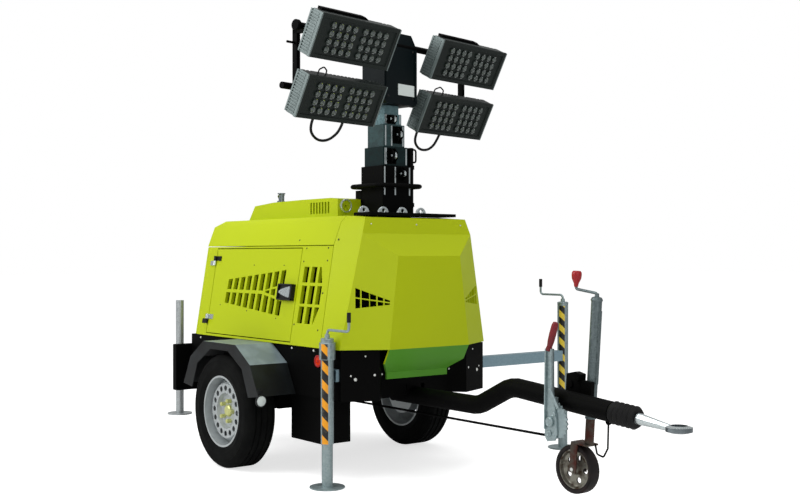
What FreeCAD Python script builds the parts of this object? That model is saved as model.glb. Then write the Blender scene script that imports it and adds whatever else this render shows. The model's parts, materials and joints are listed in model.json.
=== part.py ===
# Mobile light tower on a single-axle trailer.
# Lengths are millimetres and angles degrees.  X points forward to the towing eye,
# Y to the left and Z up.  Sizes are worked out about the point on the ground under
# the axle, and each finished piece is then placed so that the centre of the towing
# eye is the origin.
import FreeCAD, Part
import Sketcher
import math
import os
import re
from types import SimpleNamespace

os.makedirs("parts", exist_ok=True)
doc = FreeCAD.newDocument("light_tower")
Vector = FreeCAD.Vector

# Driving dimensions
SIZES = (
    # Wheels and axle
    ("axle_height", 305), ("tyre_width", 185), ("tyre_clearance", 45), ("tyre_bead_radius", 186),
    ("tyre_shoulder", 24), ("tyre_bulge", 36), ("rim_width", 150), ("rim_flange_radius", 195), ("rim_wall", 5),
    ("rim_disc_offset", 52), ("rim_vents", 16), ("rim_vent_radius", 15), ("rim_vent_circle", 122),
    ("rim_bowl_radius", 88), ("rim_bowl_depth", 22), ("hub_radius", 32), ("wheel_bolts", 5),
    ("wheel_bolt_circle", 56), ("wheel_bolt_radius", 11), ("drum_radius", 115), ("drum_depth", 60),
    ("axle_tube", 80), ("axle_tube_x", 205), ("axle_tube_z", 367), ("trail_arm_gap", 6),
    ("trail_arm_width", 32), ("trail_arm_boss", 42), ("stub_radius", 17),
    # Mudguards
    ("guard_gap", 4), ("guard_wall", 5), ("guard_foot_x", 409), ("guard_foot_z", 118),
    ("guard_knee_x", 326), ("guard_knee_z", 273), ("guard_crown_x", 175), ("guard_crown_z", 368),
    ("guard_mouth_x", 307), ("guard_mouth_z", 105), ("guard_arch_x", 242), ("guard_arch_z", 247),
    ("guard_key_x", 94), ("guard_key_z", 330),
    # Frame
    ("frame_rear", -750), ("frame_sides_front", 640), ("frame_half", 470), ("frame_bottom", 420),
    ("frame_top", 671), ("frame_wall", 5), ("frame_flange", 45), ("floor_wall", 6),
    ("skirt_corner_x", 811), ("skirt_nose_x", 884), ("skirt_nose_y", 286), ("skirt_front_x", 808),
    ("skirt_front_y", 215), ("notch_half", 62), ("notch_top", 478), ("panel_gap", 4),
    ("hang_box_x0", 335), ("hang_box_x1", 634), ("hang_box_inset", 15), ("hang_box_depth", 170),
    ("hang_box_bottom", 185), ("reflector_x", 620), ("reflector_z", 608), ("reflector_radius", 30),
    ("tail_x", -800), ("tail_inset", 115), ("tail_overhang", 102), ("tail_z0", 335), ("tail_z1", 610),
    ("tail_depth", 42),
    # Front stabilisers
    ("sleeve_pitch", 72), ("slide_gap", 0.6), ("arm_side", 60), ("arm_wall", 4), ("arm_length", 900),
    ("arm_z", 550), ("arm_right_x", 766), ("stab_gap", 35), ("stab_reach", 696),
    ("stab_tube_radius", 32), ("stab_tube_wall", 4), ("stab_tube_length", 514), ("stab_right_z", 214),
    ("stab_left_z", 345), ("stab_leg_length", 520), ("stab_foot_radius", 88), ("stab_foot_height", 9),
    ("crank_arm", 150), ("crank_radius", 7), ("crank_lift", 48), ("crank_grip", 90),
    # Rear stabilisers
    ("rear_leg_x", -950), ("rear_leg_inset", 20), ("rear_leg_radius", 24), ("rear_leg_bottom", 172),
    ("rear_leg_top", 865), ("rear_foot_radius", 75), ("rear_foot_height", 8), ("rear_clamp_z", 465),
    ("rear_clamp_height", 60), ("rear_clamp_radius", 34), ("rear_bracket_side", 50),
    # Drawbar, coupling and its fittings
    ("drawbar_radius", 45), ("drawbar_wall", 5), ("drawbar_start_x", 665), ("drawbar_low_x", 1300),
    ("drawbar_low_z", 419), ("drawbar_high_x", 1530), ("drawbar_high_z", 531), ("drawbar_end_x", 2140),
    ("drawbar_end_z", 480), ("drawbar_bend", 200), ("bend_cuts", 3), ("bellows_radius", 50), ("bellows_length", 135), ("bellows_folds", 5),
    ("eye_x", 2483), ("eye_z", 450), ("eye_bore", 34), ("eye_outer", 54), ("eye_height", 30),
    ("shaft_radius", 25), ("brake_rod_z", 333), ("brake_rod_radius", 6), ("lever_x", 1850),
    ("lever_y", 82), ("lever_bottom", 333), ("lever_top", 735), ("lever_width", 36), ("lever_wall", 8),
    ("grip_length", 120), ("grip_radius", 16), 
    ("jockey_x", 1935), ("jockey_y", 92), ("jockey_lean", 4), ("jockey_radius", 24), ("jockey_wall", 3),
    ("jockey_bottom", 420), ("jockey_top", 950), ("jockey_leg_bottom", 235),
    ("jockey_wheel_radius", 110), ("jockey_wheel_width", 60), ("jockey_trail", 62),
    ("jockey_axle_z", 182), ("jockey_clamp_height", 110),
    # Canopy
    ("canopy_rear", -680), ("canopy_joint", 650), ("belt_z", 675), ("belt_overhang", 15), ("gutter_z", 1195),
    ("gutter_inset", 85), ("eave_z", 1310), ("eave_inset", 130), ("roof_z", 1345), ("roof_inset", 165),
    ("canopy_wall", 20), ("rear_chamfer_x", -600), ("brow_x", 836), ("brow_z", 1252), ("brow_inset", 128),
    ("brow_top_x", 823), ("brow_top_inset", 155), ("corner_x", 811), ("nose_x", 932), ("nose_half", 261),
    ("nose_top_x", 928), ("nose_top_z", 1139), ("nose_top_half", 203),
    ("apron_fold_x", 890), ("apron_fold_z", 600), ("apron_x", 827), ("apron_wall", 12), ("apron_z", 550), ("apron_half", 200),
    ("apron_lip_z", 516), ("door_rear", -548), ("door_front", 362), ("door_bottom", 692), ("door_top", 1178),
    ("door_gap", 5), ("door_wall", 20), ("hinge_radius", 9), ("hinge_length", 60), ("hinge_low_z", 770),
    ("hinge_high_z", 1109), ("latch_x", 278), ("latch_z", 945), ("latch_wide", 138), ("latch_high", 86),
    ("latch_proud", 16),
    ("duct_half", 252), ("duct_end", 404), ("duct_rear", -450), ("duct_crown", -380), ("duct_front", 470),
    ("duct_z", 1448), ("duct_front_z", 1440), ("exhaust_x", -340), ("exhaust_y", -95), ("exhaust_top", 1505),
    ("exhaust_radius", 17), ("lug_plate_x0", 660), ("lug_plate_x1", 802), ("lug_plate_half", 285),
    ("lug_plate_z0", 1345), ("lug_plate_z1", 1361), ("lug_x", 702), ("lug_radius", 34), ("lug_wall", 8),
    ("lug_slot", 9), ("engine_x0", -330), ("engine_x1", 330), ("engine_half", 210), ("engine_top", 1020),
    # Mast
    ("mast_x", 560), ("mast_base_side", 190), ("mast_base_wall", 6), ("mast_base_top", 1615),
    ("mast_cover_x", 416), ("mast_cover_half", 97), ("mast_cover_top", 1490), ("pad_height", 70),
    ("section_wall", 5), ("section_1_side", 164), ("section_2_side", 140), ("section_3_side", 117),
    ("section_4_side", 95), ("section_1_top", 1716), ("section_2_top", 1834), ("section_3_top", 1892),
    ("section_4_top", 1938), ("section_foot", 445), ("hoop_z", 1508), ("hoop_radius", 12), ("hoop_reach", 46),
    ("hoop_bend", 50),
    # Head and lamps
    ("head_yaw", 9.7), ("head_half", 55), ("head_front", 105), ("head_rear", -50),
    ("head_top", 2312), ("head_slope", 46), ("lamp_width", 540), ("lamp_height", 220), ("lamp_depth", 92),
    ("lamp_tilt", 27), ("lamp_side", 445), ("lamp_upper_x", 217), ("lamp_lower_x", 121),
    ("lamp_upper_z", 2186), ("lamp_lower_z", 1906), ("lamp_bezel", 20), ("lamp_bezel_depth", 6), ("fin_depth", 30), ("fin_gap", 13),
    ("fin_pitch", 26), ("fin_count", 9),
    ("led_rows", 4), ("led_columns", 8), ("led_radius", 9), ("bar_radius", 17), ("bar_half", 740),
    ("bar_back", 140), ("clamp_radius", 27), ("clamp_width", 34), ("clamp_spread", 150),
    # Clearances
    ("running", 5), ("seat", 0.3), ("running_fit", 0.1),
)
sheet = doc.addObject("Spreadsheet::Sheet", "Sizes")
for row, (alias, value) in enumerate(SIZES, 1):
    sheet.set("A%d" % row, alias)
    sheet.set("B%d" % row, str(value))
    sheet.setAlias("B%d" % row, alias)
doc.recompute()
NAMES = {alias for alias, value in SIZES}

# Places worked out from the driving dimensions
DERIVED = {
    "belt_half": "(frame_half + belt_overhang)",
    "gutter_half": "(frame_half + belt_overhang - gutter_inset)",
    "eave_half": "(frame_half + belt_overhang - eave_inset)",
    "roof_half": "(frame_half + belt_overhang - roof_inset)",
    "brow_half": "(frame_half + belt_overhang - brow_inset)",
    "brow_top_half": "(frame_half + belt_overhang - brow_top_inset)",
    "stab_home_y": "(frame_half + belt_overhang + stab_gap)",
    "rear_leg_y": "(frame_half - rear_leg_inset)",
    "tail_inner_y": "(frame_half - tail_inset)",
    "tail_outer_y": "(frame_half + tail_overhang)",
    "hang_box_y": "(frame_half - hang_box_inset)",
    "arm_root_y": "(frame_half + trail_arm_gap)",
    "wheel_y": "(frame_half + tyre_clearance + tyre_width / 2)",
    "guard_inner_y": "(frame_half + guard_gap)",
    "guard_outer_y": "(frame_half + tyre_clearance + tyre_width)",
}


def bound(text):
    """Expression text with each size name pointing at its cell of the sheet."""
    words = re.sub(r"[a-z][a-z0-9_]*", lambda hit: DERIVED.get(hit.group(), hit.group()), str(text))
    return re.sub(r"[a-z][a-z0-9_]*", lambda hit: "Sizes." + hit.group() if hit.group() in NAMES
                  else hit.group(), words)


def number(text):
    """Present value of an expression in size names."""
    return float(sheet.evalExpression(bound(text)))


S = SimpleNamespace(**{alias: number(alias) for alias in [*NAMES, *DERIVED]})

# Directions, sides and expressions that several pieces share
X_AXIS, Y_AXIS, Z_AXIS = Vector(1, 0, 0), Vector(0, 1, 0), Vector(0, 0, 1)
SIDES = (("left", 1), ("right", -1))
LEAN = "atan((belt_half - gutter_half) / (gutter_z - belt_z))"
NODES = []


def place(thing, at=(0, 0, 0), axis=Z_AXIS, angle=0):
    """Bind the placement of a thing to expressions for its position and its turn."""
    thing.Placement = FreeCAD.Placement(Vector(), FreeCAD.Rotation(axis, 1))
    for letter, text in zip("xyz", at):
        thing.setExpression("Placement.Base." + letter, bound(text))
    thing.setExpression("Placement.Rotation.Angle", bound(angle))
    return thing


def box(name, x0, x1, y0, y1, z0, z1):
    """Box between two corners."""
    thing = doc.addObject("Part::Box", name)
    for side, low, high in (("Length", x0, x1), ("Width", y0, y1), ("Height", z0, z1)):
        thing.setExpression(side, bound("(%s) - (%s)" % (high, low)))
    for letter, low in zip("xyz", (x0, y0, z0)):
        thing.setExpression("Placement.Base." + letter, bound(low))
    return thing


def rod(name, radius, length, at=(0, 0, 0), axis=Z_AXIS, angle=0):
    """Cylinder that starts at a point; the axis and angle turn it from +Z."""
    thing = doc.addObject("Part::Cylinder", name)
    thing.setExpression("Radius", bound(radius))
    thing.setExpression("Height", bound(length))
    return place(thing, at, axis, angle)


def cut(name, base, *tools):
    """Base less its tools."""
    result = doc.addObject("Part::Cut", name)
    result.Base = base
    result.Tool = tools[0] if len(tools) == 1 else compound(name + "_tools", *tools)
    return result


def fuse(name, *members):
    """Members as one solid where they touch."""
    result = doc.addObject("Part::MultiFuse", name)
    result.Shapes = list(members)
    result.Refine = True
    return result


def compound(name, *members):
    """Members kept as they are, so that they can be placed together."""
    result = doc.addObject("Part::Compound", name)
    result.Links = list(members)
    return result


def tube(name, radius, wall, length, at=(0, 0, 0), axis=Z_AXIS, angle=0):
    """Round tube that starts at a point."""
    outer = rod(name + "_outer", radius, length)
    inner = rod(name + "_inner", "%s - (%s)" % (radius, wall), "%s + 2" % length, (0, 0, -1))
    return place(cut(name, outer, inner), at, axis, angle)


def plane(body, role):
    """Origin plane of a body."""
    return next(item for item in body.Origin.OriginFeatures if item.Role == role)


def outline(body, name, role, loops, circles=()):
    """Sketch of closed loops and circles, each point tied to expressions."""
    sketch = body.newObject("Sketcher::SketchObject", name)
    sketch.AttachmentSupport = (plane(body, role), "")
    sketch.MapMode = "FlatFace"
    for loop in loops:
        first = sketch.GeometryCount
        numbers = [(number(u), number(v)) for u, v in loop]
        for index, start in enumerate(numbers):
            end = numbers[(index + 1) % len(numbers)]
            sketch.addGeometry(Part.LineSegment(Vector(*start, 0), Vector(*end, 0)), False)
        for index, (u, v) in enumerate(loop):
            following = first + (index + 1) % len(loop)
            sketch.addConstraint(Sketcher.Constraint("Coincident", first + index, 2, following, 1))
        for index, (u, v) in enumerate(loop):
            tie(sketch, first + index, 1, u, v)
    for u, v, radius in circles:
        middle = Vector(number(u), number(v), 0)
        index = sketch.addGeometry(Part.Circle(middle, Z_AXIS, number(radius)), False)
        tie(sketch, index, 3, u, v)
        rule = sketch.addConstraint(Sketcher.Constraint("Radius", index, number(radius)))
        sketch.setExpression("Constraints[%d]" % rule, bound(radius))
    return sketch


def tie(sketch, geometry, point, u, v):
    """Hold one point of a sketch at the expressions u and v."""
    for kind, text in (("DistanceX", u), ("DistanceY", v)):
        rule = sketch.addConstraint(
            Sketcher.Constraint(kind, -1, 1, geometry, point, number(text)))
        sketch.setExpression("Constraints[%d]" % rule, bound(text))


def pad(name, role, loops, depth, circles=(), at=(0, 0, 0), axis=Z_AXIS, angle=0, forward=True):
    """Body padded from loops on an origin plane.

    XY pads up, YZ pads towards +X, and XZ pads towards -Y unless forward is False.
    """
    body = doc.addObject("PartDesign::Body", name)
    sketch = outline(body, name + "_outline", role, loops, circles)
    feature = body.newObject("PartDesign::Pad", name + "_pad")
    feature.Profile = sketch
    feature.setExpression("Length", bound(depth))
    feature.Reversed = not forward
    return place(body, at, axis, angle)


def revolve(name, loop, at=(0, 0, 0), axis=Z_AXIS, angle=0):
    """Body turned round its own Z from a loop of (radius, height) points."""
    body = doc.addObject("PartDesign::Body", name)
    sketch = outline(body, name + "_outline", "XZ_Plane", [loop])
    feature = body.newObject("PartDesign::Revolution", name + "_turned")
    feature.Profile = sketch
    feature.ReferenceAxis = (sketch, ["V_Axis"])
    feature.Angle = 360
    return place(body, at, axis, angle)


def polyhedron(name, points, faces):
    """Solid from named corner points and the faces between them."""
    sheets = [Part.Face(Part.makePolygon([points[key] for key in face + face[:1]])) for face in faces]
    thing = doc.addObject("Part::Feature", name)
    solid = Part.Solid(Part.makeShell(sheets))
    if solid.Volume < 0:
        solid.reverse()
    thing.Shape = solid
    return thing


def bent_path(points, radius):
    """Wire through the points, each bend rounded to a radius by a few short chords."""
    line = [points[0]]
    for before, corner, after in zip(points, points[1:], points[2:]):
        back = (before - corner).normalize()
        ahead = (after - corner).normalize()
        half = (math.pi - back.getAngle(ahead)) / 2
        middle = corner + (back + ahead).normalize() * (radius / math.cos(half))
        spoke = corner + back * (radius * math.tan(half)) - middle
        normal = back.cross(ahead)
        cuts = int(S.bend_cuts)
        for step in range(cuts):
            turn = FreeCAD.Rotation(normal, -math.degrees(2 * half) * (step + 0.5) / cuts)
            line.append(middle + turn.multVec(spoke) / math.cos(half / cuts))
    return Part.makePolygon([*line, points[-1]])


def bent_rod(name, points, bend, radius, bore=0):
    """Round bar or tube along a bent path."""
    path = bent_path(points, bend)
    solid = None
    for size in (radius, bore):
        if size:
            ring = Part.Wire(Part.makeCircle(size, points[0], (points[1] - points[0]).normalize()))
            swept = path.makePipeShell([ring], True, False, 1)
            solid = solid.cut(swept) if solid else swept
    thing = doc.addObject("Part::Feature", name)
    thing.Shape = solid
    return thing


def node(label, *members):
    """Finished sub-part: its members together, placed about the towing eye."""
    piece = fuse(label, *members) if len(members) > 1 else compound(label, *members)
    piece.Label = label
    place(piece, ("-eye_x", 0, "-eye_z"))
    NODES.append(piece)
    return piece


# Frame
FRAME_FRONT = "frame_sides_front"
for side, sign in SIDES:
    web = box("web_" + side, "frame_rear", FRAME_FRONT, "%d * frame_half - frame_flange * %d" % (sign, sign > 0),
              "%d * frame_half + frame_flange * %d" % (sign, sign < 0), "frame_bottom", "frame_top")
    inner = "frame_half - frame_wall"
    hollow = box("web_hollow_" + side, "frame_rear - 1", FRAME_FRONT + " + 1",
                 "(%s) * %d - (frame_flange + 1) * %d" % (inner, sign, sign > 0),
                 "(%s) * %d + (frame_flange + 1) * %d" % (inner, sign, sign < 0),
                 "frame_bottom + frame_wall", "frame_top - frame_wall")
    node("frame_side_" + side, cut("channel_" + side, web, hollow))

node("floor_pan", box("floor", "frame_rear + frame_wall", FRAME_FRONT,
                      "-frame_half + frame_wall", "frame_half - frame_wall",
                      "frame_bottom + frame_wall", "frame_bottom + frame_wall + floor_wall"))
node("rear_beam", box("rear_plate", "frame_rear - frame_wall", "frame_rear", "-frame_half", "frame_half",
                      "frame_bottom", "frame_top"))

# Rear stabilisers: a bracket with a clamp ring on each side, and a leg that slides in it
BRACKET = "rear_bracket_side / 2"
for side, sign in SIDES:
    y = "%d * rear_leg_y" % sign
    stem = box("rear_bracket_" + side, "rear_leg_x + rear_clamp_radius - 6", "frame_rear - frame_wall",
               "%s - %s" % (y, BRACKET), "%s + %s" % (y, BRACKET), "rear_clamp_z - " + BRACKET,
               "rear_clamp_z + " + BRACKET)
    ring = tube("rear_ring_" + side, "rear_clamp_radius", "rear_clamp_radius - rear_leg_radius - running_fit",
                "rear_clamp_height", ("rear_leg_x", y, "rear_clamp_z - rear_clamp_height / 2"))
    node("rear_clamp_" + side, stem, ring)
    node("rear_leg_" + side,
         rod("rear_post_" + side, "rear_leg_radius", "rear_leg_top - rear_leg_bottom",
             ("rear_leg_x", y, "rear_leg_bottom")),
         rod("rear_foot_" + side, "rear_foot_radius", "rear_foot_height",
             ("rear_leg_x", y, "rear_leg_bottom - rear_foot_height")))

# Front beam with a sleeve for each stabiliser arm
SLEEVE_Z0, SLEEVE_Z1 = "arm_z - sleeve_pitch / 2", "arm_z + sleeve_pitch / 2"
ARM_X = {"right": "arm_right_x", "left": "(arm_right_x - sleeve_pitch)"}
beam = box("sleeves", "arm_right_x - 1.5 * sleeve_pitch", "arm_right_x + sleeve_pitch / 2",
           "-frame_half + frame_wall", "frame_half - frame_wall", SLEEVE_Z0, SLEEVE_Z1)
HOLLOW = "(arm_side / 2 + slide_gap)"
ways = [box("sleeve_way_" + side, "%s - %s" % (ARM_X[side], HOLLOW), "%s + %s" % (ARM_X[side], HOLLOW),
            "-frame_half - 1", "frame_half + 1", "arm_z - " + HOLLOW, "arm_z + " + HOLLOW)
        for side, sign in SIDES]
node("front_beam", cut("sleeve_pair", beam, *ways),
     cut("drawbar_saddle", box("saddle_block", "drawbar_start_x", "arm_right_x + sleeve_pitch / 2",
                               "-drawbar_radius", "drawbar_radius", "drawbar_low_z", SLEEVE_Z0),
         rod("saddle_way", "drawbar_radius + seat / 3", "drawbar_low_x - drawbar_start_x",
             ("drawbar_start_x - 1", 0, "drawbar_low_z"), Y_AXIS, 90)))

# Folded black skirt round the front of the frame
skirt_line = [(FRAME_FRONT, "frame_half"), ("skirt_corner_x", "frame_half"), ("skirt_nose_x", "skirt_nose_y"),
              ("skirt_front_x", "skirt_front_y")]
inner_line = [(x + " - frame_wall * %s" % shift, y + " - frame_wall * %s" % side_shift)
              for (x, y), (shift, side_shift) in zip(skirt_line, ((0, 1), (0.6, 1), (1.5, -0.2), (1, 1)))]
right_side = [(x, "-(%s)" % y) for x, y in skirt_line]
right_inner = [(x, "-(%s)" % y) for x, y in inner_line]
skirt = pad("skirt", "XY_Plane", [skirt_line + right_side[::-1] + right_inner + inner_line[::-1]],
            "frame_top - frame_bottom", at=(0, 0, "frame_bottom"))
notch = box("drawbar_notch", "skirt_front_x - 20", "skirt_front_x + 20", "-notch_half", "notch_half",
            "frame_bottom - 1", "notch_top")
ports = [box("arm_port_" + side, "%s - %s" % (ARM_X[side], HOLLOW), "%s + %s" % (ARM_X[side], HOLLOW),
             "%d * frame_half - 20" % sign, "%d * frame_half + 20" % sign, "arm_z - " + HOLLOW,
             "arm_z + " + HOLLOW) for side, sign in SIDES]
node("front_skirt", cut("skirt_cut", skirt, notch, *ports))

node("side_box", box("tool_box", "hang_box_x0", "hang_box_x1", "-hang_box_y", "-hang_box_y + hang_box_depth",
                     "hang_box_bottom", "frame_bottom"))
node("side_reflectors", *[rod("reflector_" + side, "reflector_radius", 8,
                              ("reflector_x", "%d * frame_half" % sign, "reflector_z"), X_AXIS, -90 * sign)
                          for side, sign in SIDES])
tails = []
for side, sign in SIDES:
    near, far = ("tail_inner_y", "tail_outer_y") if sign > 0 else ("-tail_outer_y", "-tail_inner_y")
    board = box("tail_" + side, "tail_x", "tail_x + tail_depth", near, far, "tail_z0", "tail_z1")
    y = "%d * rear_leg_y" % sign
    port = box("tail_port_" + side, "tail_x - 1", "tail_x + tail_depth + 1", "%s - %s - seat" % (y, BRACKET),
               "%s + %s + seat" % (y, BRACKET), "rear_clamp_z - %s - seat" % BRACKET,
               "rear_clamp_z + %s + seat" % BRACKET)
    tails.append(cut("tail_board_" + side, board, port))
node("tail_panels", *tails)

# Axle, mudguards and wheels
GUARD_LINE = [("guard_%s_x" % spot, "axle_height + guard_%s_z" % spot) for spot in ("foot", "knee", "crown")]
GUARD_INNER = [("guard_foot_x - guard_wall", "axle_height + guard_foot_z"),
               ("guard_knee_x - 0.8 * guard_wall", "axle_height + guard_knee_z - 0.7 * guard_wall"),
               ("guard_crown_x - 0.3 * guard_wall", "axle_height + guard_crown_z - guard_wall")]
GUARD_MOUTH = [("guard_%s_x" % spot, "axle_height + guard_%s_z" % spot) for spot in ("mouth", "arch", "key")]


def mirrored(points):
    """Points of the front half, from the foot up, followed by their mirror images behind the axle."""
    return points + [("-(%s)" % x, z) for x, z in points[::-1]]


axle_parts = [
     box("axle_tube", "axle_tube_x - axle_tube / 2", "axle_tube_x + axle_tube / 2", "-arm_root_y",
         "arm_root_y", "axle_tube_z - axle_tube / 2", "axle_tube_z + axle_tube / 2"),
     *[box("axle_seat_" + side, "axle_tube_x - axle_tube", "axle_tube_x + axle_tube",
           "%d * (frame_half - frame_flange / 2) - 20" % sign, "%d * (frame_half - frame_flange / 2) + 20" % sign,
           "axle_tube_z + axle_tube / 2", "frame_bottom") for side, sign in SIDES]]
for side, sign in SIDES:
    root = "%d * arm_root_y" % sign
    arm = pad("trail_arm_" + side, "XZ_Plane",
              [[("axle_tube_x", "axle_tube_z + trail_arm_boss"), (0, "axle_height + trail_arm_boss - 6"),
                (0, "axle_height - trail_arm_boss + 6"), ("axle_tube_x", "axle_tube_z - trail_arm_boss")]],
              "trail_arm_width - 3", at=(0, root, 0), forward=sign < 0)
    ends = [rod("trail_end_%s_%d" % (side, index), radius, "trail_arm_width", (x, root, z), X_AXIS, -90 * sign)
            for index, (radius, x, z) in enumerate((("trail_arm_boss", "axle_tube_x", "axle_tube_z"),
                                                    ("trail_arm_boss - 6", 0, "axle_height")))]
    stub = rod("stub_" + side, "stub_radius", "wheel_y + rim_disc_offset - rim_bowl_depth - rim_wall"
               " - running - arm_root_y", (0, root, "axle_height"), X_AXIS, -90 * sign)
    axle_parts += [arm, stub, *ends]

    arch = pad("guard_arch_" + side, "XZ_Plane", [mirrored(GUARD_LINE) + mirrored(GUARD_INNER)[::-1]],
               "guard_outer_y - guard_inner_y", at=(0, "%d * guard_inner_y" % sign, 0), forward=sign < 0)
    lip = pad("guard_lip_" + side, "XZ_Plane", [mirrored(GUARD_LINE) + mirrored(GUARD_MOUTH)[::-1]], "guard_wall",
              at=(0, "%d * (guard_outer_y - guard_wall)" % sign, 0), forward=sign < 0)
    node("mudguard_" + side, arch, lip)

    wheel_at = (0, "%d * wheel_y" % sign, "axle_height")
    half = "tyre_width / 2"
    tyre = revolve("tyre_body_" + side,
                   [("tyre_bead_radius", "-rim_width / 2"), ("tyre_bead_radius + tyre_bulge", "-" + half),
                    ("axle_height - tyre_shoulder", "-" + half), ("axle_height", "-" + half + " + tyre_shoulder"),
                    ("axle_height", half + " - tyre_shoulder"), ("axle_height - tyre_shoulder", half),
                    ("tyre_bead_radius + tyre_bulge", half), ("tyre_bead_radius", "rim_width / 2")],
                   wheel_at, X_AXIS, -90 * sign)
    node("tyre_" + side, tyre)

    edge = "rim_width / 2"
    barrel = revolve("rim_barrel_" + side,
                     [("tyre_bead_radius - rim_wall", "-%s - rim_wall" % edge),
                      ("rim_flange_radius", "-%s - rim_wall" % edge), ("tyre_bead_radius", "-%s" % edge),
                      ("tyre_bead_radius", edge), ("rim_flange_radius", "%s + rim_wall" % edge),
                      ("tyre_bead_radius - rim_wall", "%s + rim_wall" % edge)], wheel_at, X_AXIS, -90 * sign)
    disc = revolve("rim_disc_" + side,
                   [("tyre_bead_radius - rim_wall", 0), ("tyre_bead_radius - rim_wall", "rim_wall"),
                    ("rim_vent_circle + 24", "rim_disc_offset"), ("rim_bowl_radius + 8", "rim_disc_offset"),
                    ("rim_bowl_radius", "rim_disc_offset - rim_bowl_depth"),
                    (0, "rim_disc_offset - rim_bowl_depth"), (0, "rim_disc_offset - rim_bowl_depth - rim_wall"),
                    ("rim_bowl_radius + 3", "rim_disc_offset - rim_bowl_depth - rim_wall"),
                    ("rim_bowl_radius + 11", "rim_disc_offset - rim_wall"),
                    ("rim_vent_circle + 20", "rim_disc_offset - rim_wall")], wheel_at, X_AXIS, -90 * sign)
    vents = outline(disc, "rim_vent_" + side, "XY_Plane", [], [("rim_vent_circle", 0, "rim_vent_radius")])
    pocket = disc.newObject("PartDesign::Pocket", "rim_vent_pocket_" + side)
    pocket.Profile = vents
    pocket.Type = "ThroughAll"
    pocket.Reversed = True
    doc.recompute()
    pattern = disc.newObject("PartDesign::PolarPattern", "rim_vent_ring_" + side)
    pattern.Originals = [pocket]
    pattern.Axis = (vents, ["N_Axis"])
    pattern.Angle = 360
    pattern.setExpression("Occurrences", bound("rim_vents"))
    disc.Tip = pattern
    face = "rim_disc_offset - rim_bowl_depth"
    nuts = [rod("wheel_nut_%s_%d" % (side, index), "wheel_bolt_radius", 26,
                ("wheel_bolt_circle * cos(%d * 360 / wheel_bolts)" % index,
                 "wheel_bolt_circle * sin(%d * 360 / wheel_bolts)" % index, face + " - 1"))
            for index in range(int(S.wheel_bolts))]
    caps = place(compound("wheel_nuts_" + side, *nuts), wheel_at, X_AXIS, -90 * sign)
    hub = revolve("hub_turned_" + side,
                  [("stub_radius + seat", -70), ("drum_radius", -70), ("drum_radius", "-70 + drum_depth"),
                   ("hub_radius + 20", "-70 + drum_depth"), ("hub_radius + 20", face + " - rim_wall"),
                   ("stub_radius + seat", face + " - rim_wall")], wheel_at, X_AXIS, -90 * sign)
    node("wheel_rim_" + side, barrel, disc, caps, hub)

node("axle", *axle_parts)

# Canopy: leaning sides, each a fixed panel round a door, both cut with tapered grilles
UP = "/ cos(%s)" % LEAN


def rise(z):
    """Height up the leaning side that corresponds to a level."""
    return "(%s - belt_z) %s" % (z, UP)


def slot(x, wide, low, high, low_slope=0, high_slope=0, slant=0):
    """Upright slot in a side: its left edge, width, the levels of its ends there and their slopes."""
    return [(x, rise(low)), (x + wide, rise("%s + %s" % (low, low_slope * wide))),
            (x + wide + slant, rise("%s + %s" % (high, high_slope * (wide + slant)))), (x + slant, rise(high))]


def door_slots():
    """Two rows of slots that widen forwards, with a wedge of three between them at the latch."""
    slots = []
    for k in range(9):
        x = -375 + 70 * k
        web = 0.2 * max(0, x - 20)
        slots.append(slot(x, 46, 948 + web, 1041 + 0.1 * x, 0.2 if x > 20 else 0, 0.1, 5))
        slots.append(slot(x - 8, 46, 838 - 0.085 * x, 930 - 0.8 * web, -0.085, -0.16 if x > 20 else 0, 5))
    for k in range(3):
        x = 48 + 60 * k
        half = 3 + 0.17 * (x - 48)
        slots.append(slot(x, 42 if k < 2 else 22, 942 - half, 945 + half, -0.14, 0.14))
    return slots


# Columns of the panel grille: left edge, width; rows: foot and head of the slot, lean of its front edge
PANEL_COLUMNS = ((405, 47), (476, 50), (548, 42))
PANEL_ROWS = ((1001, 1083, -24), (891, 985, 0), (790, 877, 36))


def panel_slots():
    """Three columns by three rows of slots, the front column cut on a slant at top and bottom."""
    slots = []
    for x, wide in PANEL_COLUMNS:
        for low, high, lean in PANEL_ROWS:
            points = slot(x, wide, low, high, 0, 0, 3)
            if x == PANEL_COLUMNS[-1][0]:
                if lean > 0:
                    points[1] = (x + wide - lean, rise(low))
                if lean < 0:
                    points[2] = (x + wide + lean, rise(high))
            slots.append(points)
    return slots


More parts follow.
